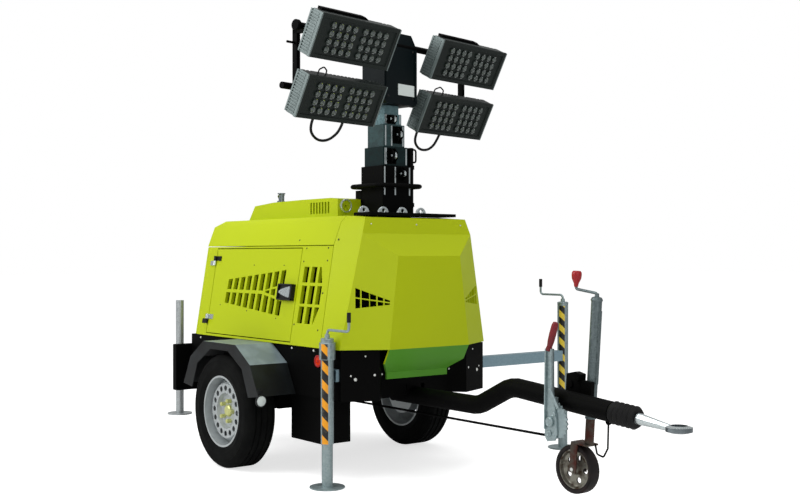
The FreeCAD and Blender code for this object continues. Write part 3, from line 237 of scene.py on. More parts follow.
@dataclass(frozen=True)
class PowderCoat(Finish):
    """Powder coat on sheet steel: an even colour with faint orange peel, dust in the flats and a soft gloss."""

    dust: str = "#C9CC8A"
    dusty: float = 0.10
    peel: float = 2.4  # mm between the peel's waves, as on the real coat

    def pattern(self, tree: Any, place: Any, shader: Any) -> None:
        """Orange peel, settled dust and a little fading."""
        haze = self.blotch(tree, place, 420, 0.35, 0.75)
        specks = self.blotch(tree, place, 9, 0.60, 0.72, 5)
        share = add_node(tree, "ShaderNodeMath", {0: haze, 1: self.dusty}, operation="MULTIPLY").outputs[0]
        spotted = add_node(tree, "ShaderNodeMath", {0: specks, 1: self.dusty * 0.6, 2: share},
                           operation="MULTIPLY_ADD").outputs[0]
        self.tinted(tree, spotted, self.dust, shader)
        self.varied(tree, haze, shader.inputs["Roughness"], self.roughness - 0.05, self.roughness + 0.10)
        ripple = add_node(tree, "ShaderNodeTexNoise", {"Vector": place, "Scale": per_mm(self.peel), "Detail": 1.0})
        self.relief(tree, ripple.outputs[0], shader, 0.05, 0.5)


@dataclass(frozen=True)
class MouldedPlastic(Finish):
    """Grained polyethylene moulding: satin, finely pitted and greyed where it has rubbed."""

    worn: str = "#565C5E"
    grain: float = 1.6  # mm; the real grain is about a third of it, too fine to show

    def pattern(self, tree: Any, place: Any, shader: Any) -> None:
        """Pitted grain and rubbed patches."""
        rubbed = self.blotch(tree, place, 90, 0.42, 0.78, 5)
        self.tinted(tree, rubbed, self.worn, shader)
        pits = add_node(tree, "ShaderNodeTexVoronoi", {"Vector": place, "Scale": per_mm(self.grain)})
        self.relief(tree, pits.outputs[0], shader, 0.25, 0.6)


@dataclass(frozen=True)
class Rubber(Finish):
    """Vulcanised rubber: almost black, matt, with grey dust worked into it."""

    dust: str = "#3B3B38"
    skin: float = 1.5  # mm; coarser than the real skin, so that it shows

    def pattern(self, tree: Any, place: Any, shader: Any) -> None:
        """Dust in patches and a fine skin."""
        patches = self.blotch(tree, place, 60, 0.40, 0.80, 6)
        self.tinted(tree, patches, self.dust, shader)
        matt = add_node(tree, "ShaderNodeTexNoise", {"Vector": place, "Scale": per_mm(self.skin), "Detail": 2.0})
        self.relief(tree, matt.outputs[0], shader, 0.2, 0.5)


@dataclass(frozen=True)
class Galvanised(Finish):
    """Hot-dip galvanised steel: crystals about a finger wide, each its own grey, dull but metallic."""

    pale: str = "#B9C4C4"
    spangle: float = 14.0  # mm across a zinc crystal
    run: float = 11.0  # mm between the waves that the bath leaves

    def pattern(self, tree: Any, place: Any, shader: Any) -> None:
        """Spangle in colour and gloss, with a slightly uneven skin."""
        cells = add_node(tree, "ShaderNodeTexVoronoi", {"Vector": place, "Scale": per_mm(self.spangle)})
        grey = add_node(tree, "ShaderNodeSeparateColor", {0: cells.outputs["Color"]}).outputs[0]
        self.tinted(tree, grey, self.pale, shader)
        self.varied(tree, grey, shader.inputs["Roughness"], self.roughness - 0.08, self.roughness + 0.12)
        uneven = add_node(tree, "ShaderNodeTexNoise", {"Vector": place, "Scale": per_mm(self.run), "Detail": 4.0})
        self.relief(tree, uneven.outputs[0], shader, 0.3, 0.4)


@dataclass(frozen=True)
class WornMetal(Finish):
    """Plated or machined metal with faint streaks and darker handling marks."""

    dark: str = "#5B5F60"
    marks: float = 0.35
    streak: float = 3.0  # mm; real drawing marks are finer and wouldn't show

    def pattern(self, tree: Any, place: Any, shader: Any) -> None:
        """Handling marks and streaks along the Z of the piece."""
        marked = self.blotch(tree, place, 36, 0.46, 0.80, 6)
        share = add_node(tree, "ShaderNodeMath", {0: marked, 1: self.marks}, operation="MULTIPLY").outputs[0]
        self.tinted(tree, share, self.dark, shader)
        drawn = add_node(tree, "ShaderNodeMapping", {"Vector": place, "Scale": (1.0, 1.0, 0.06)})
        streaks = add_node(tree, "ShaderNodeTexNoise",
                           {"Vector": drawn.outputs[0], "Scale": per_mm(self.streak), "Detail": 3.0})
        self.varied(tree, streaks.outputs[0], shader.inputs["Roughness"], self.roughness - 0.07,
                    self.roughness + 0.10, 0.3, 0.7)
        self.relief(tree, streaks.outputs[0], shader, 0.05, 0.4)


@dataclass(frozen=True)
class RustStained(Finish):
    """Old zinc that has turned brown with grease and surface rust."""

    rust: str = "#5A2F1C"

    def pattern(self, tree: Any, place: Any, shader: Any) -> None:
        """Rust in ragged patches that also take the shine off."""
        patches = self.blotch(tree, place, 40, 0.42, 0.62, 8)
        self.tinted(tree, patches, self.rust, shader)
        self.varied(tree, patches, shader.inputs["Roughness"], self.roughness, 0.85)
        self.varied(tree, patches, shader.inputs["Metallic"], self.metallic, 0.1)
        self.relief(tree, patches, shader, 0.3, 0.5)


@dataclass(frozen=True)
class ClearPlastic(Finish):
    """Clear or tinted moulded lens: smooth, glossy and see-through."""

    clear: float = 0.9
    index: float = 1.49
    wave: float = 14.0  # mm between the mould's waves

    def pattern(self, tree: Any, place: Any, shader: Any) -> None:
        """Transmission, and a faint waviness from the mould."""
        shader.inputs["Transmission Weight"].default_value = self.clear
        shader.inputs["IOR"].default_value = self.index
        waves = add_node(tree, "ShaderNodeTexNoise", {"Vector": place, "Scale": per_mm(self.wave), "Detail": 1.0})
        self.relief(tree, waves.outputs[0], shader, 0.05, 0.3)


@dataclass(frozen=True)
class HazardTape(Finish):
    """Reflective tape with slanting black bands, a little faded and scuffed."""

    black: str = "#0B0B0B"
    pitch: float = 91.0
    slant: tuple[float, float, float] = (0.62, 0.79, 1.0)
    black_share: float = 0.52
    cell: float = 4.0  # mm across a reflecting cell
    scuffed: float = 0.35
    scuff: str = "#8D8A78"

    def pattern(self, tree: Any, place: Any, shader: Any) -> None:
        """Bands across the tape and scuffs over both colours."""
        along = add_node(tree, "ShaderNodeVectorMath", {0: place, 1: self.slant}, operation="DOT_PRODUCT")
        turns = add_node(tree, "ShaderNodeMath", {0: along.outputs["Value"], 1: per_mm(self.pitch)},
                         operation="MULTIPLY")
        part = add_node(tree, "ShaderNodeMath", {0: turns.outputs[0]}, operation="FRACT")
        band = add_node(tree, "ShaderNodeMath", {0: part.outputs[0], 1: 1 - self.black_share},
                        operation="GREATER_THAN")
        tape = self.mixed(tree, band.outputs[0], self.colour, self.black)
        scuffs = self.blotch(tree, place, 22, 0.56, 0.80, 8)
        share = add_node(tree, "ShaderNodeMath", {0: scuffs, 1: self.scuffed}, operation="MULTIPLY").outputs[0]
        tree.links.new(self.mixed(tree, share, tape, self.scuff), shader.inputs["Base Color"])
        weave = add_node(tree, "ShaderNodeTexVoronoi", {"Vector": place, "Scale": per_mm(self.cell)})
        self.relief(tree, weave.outputs[0], shader, 0.05, 0.3)


LIME = PowderCoat("lime_powder_coat", "#B6C606", 0.42, slot="lime", dust="#A8AE34", dusty=0.06, specular=0.2)
# Painted shade: a darker, greener copy of the lime coat for the cowl's chin, low down and facing down
LIME_PAINTED_SHADE = PowderCoat("lime_coat_in_shade", "#54962A", 0.42, slot="lime", dust="#5F9238", dusty=0.06, specular=0.2)
DEEP_BLACK = PowderCoat("black_structure_coat", "#020202", 0.6, dust="#0B0C0B", dusty=0.10, specular=0.06)
HEAD_COAT = PowderCoat("petrol_black_coat", "#030D10", 0.45, dust="#0A1B1E", dusty=0.15, specular=0.12)
LINER = MouldedPlastic("black_foam_liner", "#030303", 0.95, worn="#0A0A0A", grain=5.0, specular=0.1)
GUARD = MouldedPlastic("black_polyethylene", "#0C0F10", 0.45, slot="guard_plastic", worn="#1B2022", specular=0.25)
# Painted highlight: a lighter grey copy of the guard plastic for the guards' upward faces
GUARD_PAINTED_HIGHLIGHT = MouldedPlastic("greyed_polyethylene", "#6A787D", 0.46, slot="guard_plastic", worn="#84949A")
TRIM = MouldedPlastic("black_nylon", "#060707", 0.45, worn="#161819", specular=0.3)
TYRE = Rubber("tyre_rubber", "#060707", 0.8, slot="tyre", dust="#111211", specular=0.1)
SOLID_TYRE = Rubber("jockey_rubber", "#0C0808", 0.6, slot="jockey_tyre", dust="#2A1C1C", specular=0.3)
BELLOWS = Rubber("bellows_rubber", "#050506", 0.55, dust="#141414", specular=0.25)
CABLE = Rubber("cable_sheath", "#060707", 0.50, dust="#101213", specular=0.25)
RIM = WornMetal("silver_wheel_paint", "#B2B8B9", 0.36, 0.30, slot="silver_steel", dark="#8A9092")
ZINC = Galvanised("hot_dip_zinc", "#8E9FA1", 0.42, 0.7, slot="galvanised", pale="#A3B2B4", spangle=9.0)
ARM_ZINC = Galvanised("drawn_zinc_tube", "#86A2AE", 0.38, 0.55, slot="galvanised", pale="#93AEB9", spangle=6.0)
PALE_ZINC = Galvanised("bright_zinc_tube", "#AEB4B6", 0.36, 0.7, slot="galvanised", pale="#C2C8C9", spangle=6.0)
JOCKEY_ZINC = Galvanised("aged_zinc_tube", "#5C686A", 0.42, 0.6, slot="galvanised", pale="#707C7E", spangle=8.0)
CHROME = WornMetal("exhaust_chrome", "#7F888C", 0.22, 0.95, slot="galvanised", dark="#3E4448")
BRIGHT = WornMetal("bright_zinc_plate", "#D3DCDD", 0.26, 0.9, slot="galvanised", dark="#8D9CA0")
BOLT = WornMetal("zinc_bolt", "#E4E6E2", 0.35, 0.6, slot="galvanised", dark="#9A9E9A")
NUT = WornMetal("yellow_passivated_zinc", "#D3D58E", 0.4, 0.6, slot="silver_steel", dark="#9A9C50")
FIRST_SECTION = Galvanised("petrol_mast_coat", "#0D1E1F", 0.5, 0.1, slot="mast_steel", pale="#122728", spangle=20.0,
                           specular=0.15)
SECOND_SECTION = Galvanised("teal_mast_coat", "#22393A", 0.45, 0.25, slot="mast_steel", pale="#2D494B", spangle=16.0)
MAST = Galvanised("mast_zinc", "#58757A", 0.45, 0.4, slot="mast_steel", pale="#6F8E93", spangle=12.0)
LAMP = PowderCoat("lamp_dark_grey_coat", "#131B19", 0.42, slot="lamp_housing", dust="#2A3633", dusty=0.18,
                  specular=0.35)
LAMP_END = WornMetal("bare_cast_aluminium", "#74807F", 0.5, 0.4, slot="lamp_housing", dark="#3F4A49")
BEZEL = PowderCoat("lamp_face_grey", "#141B19", 0.5, slot="lamp_housing", dust="#2C3733", dusty=0.25, specular=0.25)
LENS = ClearPlastic("lens_acrylic", "#59635F", 0.06, slot="reflector", clear=0.2, specular=0.9)
CUP = WornMetal("reflector_cup", "#3A4441", 0.25, 0.7, slot="reflector", marks=0.2)
RED = MouldedPlastic("red_handle_plastic", "#7A0717", 0.4, worn="#5C0A16", grain=2.4)
RED_TRIM = MouldedPlastic("red_cap_plastic", "#A90D16", 0.35, worn="#8A1018", grain=2.4)
AMBER = ClearPlastic("amber_reflector", "#E23A12", 0.14, slot="reflector", clear=0.1)
RED_LENS = ClearPlastic("red_lamp_lens", "#A80C10", 0.12, slot="reflector", clear=0.15)
PLATE = PowderCoat("blank_white_plate", "#DDE6E3", 0.35, slot="reflector", dust="#B9C4C2", dusty=0.2)
TAPE = HazardTape("hazard_tape", "#F2A008", 0.42)
TAPE_FAR = HazardTape("hazard_tape_far", "#EFD03C", 0.42, pitch=80.0)
RUSTY = RustStained("rusty_zinc", "#4E463E", 0.5, 0.5, slot="galvanised", rust="#4A1C0E")
WHEEL_DISC = RustStained("greasy_wheel_disc", "#8C8A80", 0.32, 0.8, slot="galvanised", rust="#3A2A18")
ENGINE = WornMetal("engine_casting", "#2A2E30", 0.55, 0.4, slot="engine", dark="#131415")


# Mesh building

SHARP_EDGE = 0.5  # angle in radians above which an edge of a solid is rounded
ROUNDING_STEPS = 2  # faces across a rounding
SMOOTH_BELOW = 32.0  # angle in degrees below which neighbouring faces shade as one


class Solid:
    """Mesh of a piece while it is put together, in millimetres about the ground under the axle."""

    def __init__(self) -> None:
        self.mesh = bmesh.new()
        self.finish = 0

    def faces(self, points: Sequence[Vector], loops: Iterable[Sequence[int]]) -> list[Any]:
        """Add points and the faces between them, and return the faces."""
        made = [self.mesh.verts.new(p) for p in points]
        result = []
        for loop in loops:
            face = self.mesh.faces.new([made[i] for i in loop])
            face.material_index = self.finish
            result.append(face)
        return result

    def rounded(self, faces: Sequence[Any], width: float) -> None:
        """Round the edges of a closed set of faces."""
        if width > 0:
            edges = dict.fromkeys(edge for face in faces for edge in face.edges
                                  if edge.calc_face_angle(0) > SHARP_EDGE)
            made = bmesh.ops.bevel(self.mesh, geom=list(edges), offset=width, segments=ROUNDING_STEPS,
                                   affect="EDGES", clamp_overlap=True)
            for face in made["faces"]:
                face.material_index = self.finish

    def block(self, low: Sequence[float], high: Sequence[float], place: Matrix | None = None,
              round_by: float = 0.0) -> None:
        """Block between two corners of a placement, with rounded edges."""
        place = place or Matrix.Identity(4)
        points = [place @ Vector((x, y, z)) for z in (low[2], high[2]) for y in (low[1], high[1])
                  for x in (low[0], high[0])]
        loops = ((0, 2, 3, 1), (4, 5, 7, 6), (0, 1, 5, 4), (2, 6, 7, 3), (0, 4, 6, 2), (1, 3, 7, 5))
        self.rounded(self.faces(points, loops), round_by)

    def turned(self, profile: Sequence[tuple[float, float]], place: Matrix, sides: int = 48,
               ring: bool = False) -> None:
        """Solid turned round the Z of a placement.

        Args:
            profile: Radius and height of each point.
            place: Placement of the axis.
            sides: Faces round it.
            ring: Whether the profile closes on itself, away from the axis.
        """
        points: list[Vector] = []
        rows: list[list[int]] = []
        for radius, height in profile:
            count = sides if radius > 0 else 1
            start = len(points)
            for k in range(count):
                turn = 2 * math.pi * k / sides
                points.append(place @ Vector((radius * math.cos(turn), radius * math.sin(turn), height)))
            rows.append([start + (k if count > 1 else 0) for k in range(sides)])
        loops = []
        for below, above in zip(rows, rows[1:] + (rows[:1] if ring else [])):
            for k in range(sides):
                n = (k + 1) % sides
                corners = [below[k], below[n], above[n], above[k]]
                loops.append([c for i, c in enumerate(corners) if c != corners[i - 1]])
        if not ring:
            loops += [row[::step] for row, step in ((rows[0], -1), (rows[-1], 1)) if row[0] != row[1]]
        self.faces(points, loops)

    def rod(self, start: Vector, end: Vector, radius: float, sides: int = 28, edge: float = 1.0) -> None:
        """Round bar between two points with chamfered ends."""
        way = end - start
        self.turned([(0, 0), (radius - edge, 0), (radius, edge), (radius, way.length - edge),
                     (radius - edge, way.length), (0, way.length)], facing(start, way), sides)

    def pipe(self, points: Sequence[Vector], radius: float, bend: float, sides: int = 14) -> None:
        """Round bar along straight runs with rounded bends.

        Args:
            points: Corners of the runs.
            radius: Radius of the bar.
            bend: Radius of its bends, on its centre line.
            sides: Faces round it.
        """
        line = rounded_line(points, bend)
        guide = (line[1] - line[0]).normalized().orthogonal().normalized()
        rings: list[Vector] = []
        for before, point, after in zip(line[:1] + line, line, line[1:] + line[-1:]):
            way = (after - before).normalized()
            guide = (guide - way * guide.dot(way)).normalized()
            other = way.cross(guide)
            rings += [point + radius * (math.cos(t) * guide + math.sin(t) * other)
                      for t in (2 * math.pi * k / sides for k in range(sides))]
        last = (len(line) - 1) * sides
        loops = [[start + k, start + (k + 1) % sides, start + sides + (k + 1) % sides, start + sides + k]
                 for start in range(0, last, sides) for k in range(sides)]
        self.faces(rings, loops + [list(range(sides))[::-1], [last + k for k in range(sides)]])

    def prism(self, low: Sequence[Vector], high: Sequence[Vector]) -> list[Any]:
        """Add a solid between two outlines of as many points, and return its faces."""
        count = len(low)
        loops = [list(range(count))[::-1], list(range(count, 2 * count))]
        loops += [[k, (k + 1) % count, count + (k + 1) % count, count + k] for k in range(count)]
        return self.faces([*low, *high], loops)

    def plate(self, outline: Sequence[tuple[float, float]], place: Matrix, thick: float,
              round_by: float = 0.0) -> None:
        """Flat plate with an outline in a placement's XY that rises along its Z."""
        low, high = [[place @ Vector((x, y, z)) for x, y in outline] for z in (0.0, thick)]
        self.rounded(self.prism(low, high), round_by)

    def taken(self, name: str) -> bpy.types.Object:
        """Object with the solid's form in the frame's metres, which uses the solid up."""
        bmesh.ops.recalc_face_normals(self.mesh, faces=self.mesh.faces[:])
        mesh = bpy.data.meshes.new(name)
        self.mesh.to_mesh(mesh)
        self.mesh.free()
        mesh.transform(to_frame())
        return linked(name, mesh)

    def carve(self, thing: bpy.types.Object) -> None:
        """Cut this solid's form out of an object's mesh, and drop the solid."""
        cutter = self.taken("cutter")
        cutting = thing.modifiers.new("openings", "BOOLEAN")
        cutting.operation = "DIFFERENCE"
        cutting.solver = "EXACT"
        cutting.object = cutter
        kept(thing)
        bpy.data.objects.remove(cutter)

    def piece(self, name: str, body: str, *finishes: Finish) -> bpy.types.Object:
        """Finish the mesh as a piece of the scene.

        Args:
            name: Name of the piece.
            body: CAD body that it rides on.
            finishes: Finishes, in the order of the faces' finish numbers.

        Returns:
            The piece's object.
        """
        return settled(self.taken(name), body, finishes)


def rounded_line(points: Sequence[Vector], bend: float, steps: int = 6) -> list[Vector]:
    """Corner points of a bent bar with each corner swept round its bend."""
    line = [points[0]]
    for before, corner, after in zip(points, points[1:], points[2:]):
        back, ahead = (before - corner).normalized(), (after - corner).normalized()
        half = (math.pi - back.angle(ahead)) / 2
        middle = corner + (back + ahead).normalized() * bend / math.cos(half)
        first = corner + back * bend * math.tan(half) - middle
        axis = back.cross(ahead)
        line += [middle + Matrix.Rotation(-2 * half * k / steps, 3, axis) @ first for k in range(steps + 1)]
    return line + [points[-1]]


def linked(name: str, data: Any) -> bpy.types.Object:
    """New object with that data, in the scene."""
    thing = bpy.data.objects.new(name, data)
    bpy.context.scene.collection.objects.link(thing)
    return thing


def kept(thing: bpy.types.Object) -> None:
    """Make what an object's modifiers show its own plain mesh, and remove them."""
    shown = thing.evaluated_get(bpy.context.evaluated_depsgraph_get())
    mesh = bpy.data.meshes.new_from_object(shown)
    thing.modifiers.clear()
    thing.data = mesh


def settled(thing: bpy.types.Object, body: str, finishes: Sequence[Finish], shade: bool = True) -> bpy.types.Object:
    """Give an object its finishes and shading, and let it ride on a body.

    Args:
        thing: Mesh object at the origin.
        body: CAD body that it rides on.
        finishes: Finishes of its material slots.
        shade: Whether its faces are shaded here, or keep the shading that they have.

    Returns:
        The same object.
    """
    kinds = [polygon.material_index for polygon in thing.data.polygons]
    thing.data.materials.clear()
    for finish in finishes:
        thing.data.materials.append(finish.material())
    for polygon, kind in zip(thing.data.polygons, kinds):
        polygon.material_index = kind
    if shade:
        thing.data.shade_smooth()
        thing.data.set_sharp_from_angle(angle=math.radians(SMOOTH_BELOW))
        thing.modifiers.new("flat_faces", "WEIGHTED_NORMAL").keep_sharp = True
        kept(thing)
    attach(thing, body)
    log.info("%s rides on %s, %d faces", thing.name, body, len(thing.data.polygons))
    return thing


# Repeated pieces, made by Geometry Nodes


@dataclass
class Repeater:
    """Geometry Nodes tree that sets one shape on every point of a mesh, turned to the point's facing."""

    name: str
    tree: Any = field(init=False)
    entry: Any = field(init=False)

    def __post_init__(self) -> None:
        """Make the tree with its input and output."""
        self.tree = bpy.data.node_groups.new(self.name, "GeometryNodeTree")
        self.tree.interface.new_socket(name="Geometry", in_out="INPUT", socket_type="NodeSocketGeometry")
        self.tree.interface.new_socket(name="Geometry", in_out="OUTPUT", socket_type="NodeSocketGeometry")

    def size(self, label: str, value: float) -> None:
        """Add a named size in metres to the tree's inputs."""
        socket = self.tree.interface.new_socket(name=label, in_out="INPUT", socket_type="NodeSocketFloat")
        socket.default_value = value

    def finish_input(self, label: str) -> None:
        """Add a named material to the tree's inputs."""
        self.tree.interface.new_socket(name=label, in_out="INPUT", socket_type="NodeSocketMaterial")

    def begin(self) -> Any:
        """Group Input node, once every input is named."""
        self.entry = add_node(self.tree, "NodeGroupInput")
        return self.entry

    def painted(self, shape: Any, finish: Any) -> Any:
        """Shape with a material set on it."""
        return add_node(self.tree, "GeometryNodeSetMaterial", {"Geometry": shape, "Material": finish}).outputs[0]

    def joined(self, *shapes: Any) -> Any:
        """Shapes as one."""
        node = add_node(self.tree, "GeometryNodeJoinGeometry")
        for shape in shapes:
            self.tree.links.new(shape, node.inputs[0])
        return node.outputs[0]

    def finish(self, shape: Any) -> None:
        """Set the shape on the points, make it real and send it out."""
        facing_socket = add_node(self.tree, "GeometryNodeInputNamedAttribute", {"Name": "facing"},
                                 data_type="FLOAT_VECTOR").outputs[0]
        turn = add_node(self.tree, "FunctionNodeAlignRotationToVector", {"Vector": facing_socket}, axis="Z")
        points = add_node(self.tree, "GeometryNodeMeshToPoints", {"Mesh": self.entry.outputs["Geometry"]})
        copies = add_node(self.tree, "GeometryNodeInstanceOnPoints", {
            "Points": points.outputs[0], "Instance": shape, "Rotation": turn.outputs[0]})
        real = add_node(self.tree, "GeometryNodeRealizeInstances", {"Geometry": copies.outputs[0]})
        add_node(self.tree, "NodeGroupOutput", {0: real.outputs[0]})

    def grown(self, name: str, body: str, spots: Sequence[tuple[Vector, Vector]],
              inputs: dict[str, Any], finishes: Sequence[Finish]) -> bpy.types.Object:
        """Run the tree on a list of points and keep the plain mesh that it makes.

        Args:
            name: Name of the piece.
            body: CAD body that it rides on.
            spots: Place and facing of each copy, in millimetres about the ground under the axle.
            inputs: Values for the tree's named inputs.
            finishes: Finishes of the made mesh, in the order in which the tree sets them.

        Returns:
            The piece's object.
        """
        seed = bpy.data.meshes.new(name + "_points")
        seed.from_pydata([to_frame() @ place for place, _ in spots], [], [])
        facings = seed.attributes.new("facing", "FLOAT_VECTOR", "POINT")
        for index, (_, way) in enumerate(spots):
            facings.data[index].vector = way.normalized()
        made = linked(name, seed)
        modifier = made.modifiers.new("repeat", "NODES")
        modifier.node_group = self.tree
        sockets = {item.name: item.identifier for item in self.tree.interface.items_tree
                   if item.in_out == "INPUT"}
        for label, value in inputs.items():
            modifier[sockets[label]] = value
        kept(made)
        return settled(made, body, finishes)


class Fasteners:
    """Screws, rivets and bolts of the whole trailer, gathered by body and set by Geometry Nodes."""

    def __init__(self) -> None:
        self.spots: dict[tuple[str, Head, Finish, float], list[tuple[Vector, Vector]]] = {}
        self.trees = {Head.RIVET: self.dome_tree("rivet_heads", 0.42), Head.DOME: self.dome_tree("dome_heads", 0.6)}

    def dome_tree(self, name: str, flatness: float) -> Repeater:
        """Tree for a domed head on a thin flange."""
        work = Repeater(name)
        work.size("Head Radius", 0.006)
        work.finish_input("Finish")
        entry = work.begin()
        ball = add_node(work.tree, "GeometryNodeMeshUVSphere",
                        {"Segments": 16, "Rings": 8, "Radius": entry.outputs["Head Radius"]}).outputs["Mesh"]
        low = add_node(work.tree, "GeometryNodeTransform", {"Geometry": ball, "Scale": (1.0, 1.0, flatness)})
        work.finish(work.painted(low.outputs[0], entry.outputs["Finish"]))
        return work

    def add(self, body: str, head: Head, finish: Finish, radius: float, place: Vector, way: Vector) -> None:
        """Ask for one fastener, with its head's radius in millimetres."""
        self.spots.setdefault((body, head, finish, radius), []).append((place, way))

    def build(self) -> None:
        """Make one piece for each body, kind, finish and size."""
        for number, ((body, head, finish, radius), spots) in enumerate(self.spots.items()):
            name = "%s_%s_%d" % (body, head.value, number)
            self.trees[head].grown(name, body, spots, {"Head Radius": radius / 1000, "Finish": finish.material()},
                                   [finish])


# CAD pieces in new finishes


def softened(nodes: dict[str, Any], node: str, body: str, width: float, finishes: Sequence[Finish],
             sort: Callable[[Vector, Vector], int] | None = None, sharp: float = 28.0,
             openings: Solid | None = None) -> bpy.types.Object:
    """Copy of a CAD node with its doubles merged and its sharp edges rounded, which stands for the node.

    Args:
        nodes: CAD nodes of the frame.
        node: Name of the CAD node.
        body: Body that it rides on.
        width: Width of the rounding in millimetres.
        finishes: Finishes of the piece.
        sort: Chooses the finish of a face from its centre and normal, in millimetres about the ground.
        sharp: Angle in degrees above which an edge is rounded.
        openings: Form that is cut out of the copy.

    Returns:
        The piece's object.
    """
    work = bmesh.new()
    work.from_mesh(nodes[node].data)
    bmesh.ops.remove_doubles(work, verts=work.verts[:], dist=1e-5)
    mesh = bpy.data.meshes.new(node + "_dressed")
    work.to_mesh(mesh)
    work.free()
    for attribute in [a.name for a in mesh.attributes if a.name in ("custom_normal", "sharp_face")]:
        mesh.attributes.remove(mesh.attributes[attribute])
    copy = linked(node + "_dressed", mesh)
    if openings:
        openings.carve(copy)
    copy.data.shade_smooth()
    copy.data.set_sharp_from_angle(angle=math.radians(sharp))
    bevel = copy.modifiers.new("soft_edges", "BEVEL")
    bevel.width = width / 1000
    bevel.segments = 2
    bevel.limit_method = "ANGLE"
    bevel.angle_limit = math.radians(sharp)
    bevel.miter_outer = "MITER_ARC"
    copy.modifiers.new("flat_faces", "WEIGHTED_NORMAL").keep_sharp = True
    kept(copy)
    settled(copy, body, finishes, shade=False)
    back = to_frame().inverted()
    for polygon in copy.data.polygons:
        polygon.material_index = sort(back @ polygon.center, polygon.normal) if sort else 0
    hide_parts(node)
    return copy


def painted(nodes: dict[str, Any], finish: Finish, *names: str) -> None:
    """Give CAD nodes that stay as they are their material."""
    for name in names:
        thing = nodes[name]
        thing.data.materials.clear()
        thing.data.materials.append(finish.material())


# Sub-assemblies


@dataclass
class LeaningSide:
    """Plane of a canopy side, which leans inwards from the belt to the gutter."""

    side: Side
    belt_z: float = 675.0
    belt_half: float = 485.0
    gutter_z: float = 1195.0
    gutter_half: float = 400.0

    @property
    def lean(self) -> float:
        """Angle of the side from upright, in radians."""
        return math.atan((self.belt_half - self.gutter_half) / (self.gutter_z - self.belt_z))

    @property
    def normal(self) -> Vector:
        """Direction straight out of the side."""
        return Vector((0, self.side.value * math.cos(self.lean), math.sin(self.lean)))

    def at(self, x: float, z: float, out: float = 0.0) -> Vector:
        """Point of the side at a level, moved out of its plane."""
        y = self.belt_half - (z - self.belt_z) * math.tan(self.lean)
        return Vector((x, self.side.value * y, z)) + self.normal * out

    def place(self, x: float, z: float, out: float = 0.0) -> Matrix:
        """Placement on the side whose Z points out and whose Y points up."""
        return facing(self.at(x, z, out), self.normal)

    def outside(self, point: Vector) -> float:
        """Distance of a point in front of the side's plane."""
        return (point - self.at(0, self.belt_z)).dot(self.normal)


@dataclass
class CowlFacet:
    """Slanting face of the cowl: its lower rear corner, with ways along its foot, up and out."""

    side: Side

    def at(self, along: float, rise: float, out: float) -> Vector:
        """Point by its distances along the foot, up the face and out of it."""
        sign = self.side.value
        foot, up = Vector((0.4887, -sign * 0.8724, 0)), Vector((-0.0597, -sign * 0.0335, 0.9977))
        way = foot.cross(up) * -sign
        return Vector((811, sign * 477, 675)) + foot * along + up * rise + way.normalized() * out

    def patch(self, corners: Sequence[tuple[float, float]], low: float, high: float, into: Solid) -> None:
        """Add a prism over part of the face, between two depths, to a solid."""
        into.prism(*[[self.at(u, v, out) for u, v in corners] for out in (low, high)])


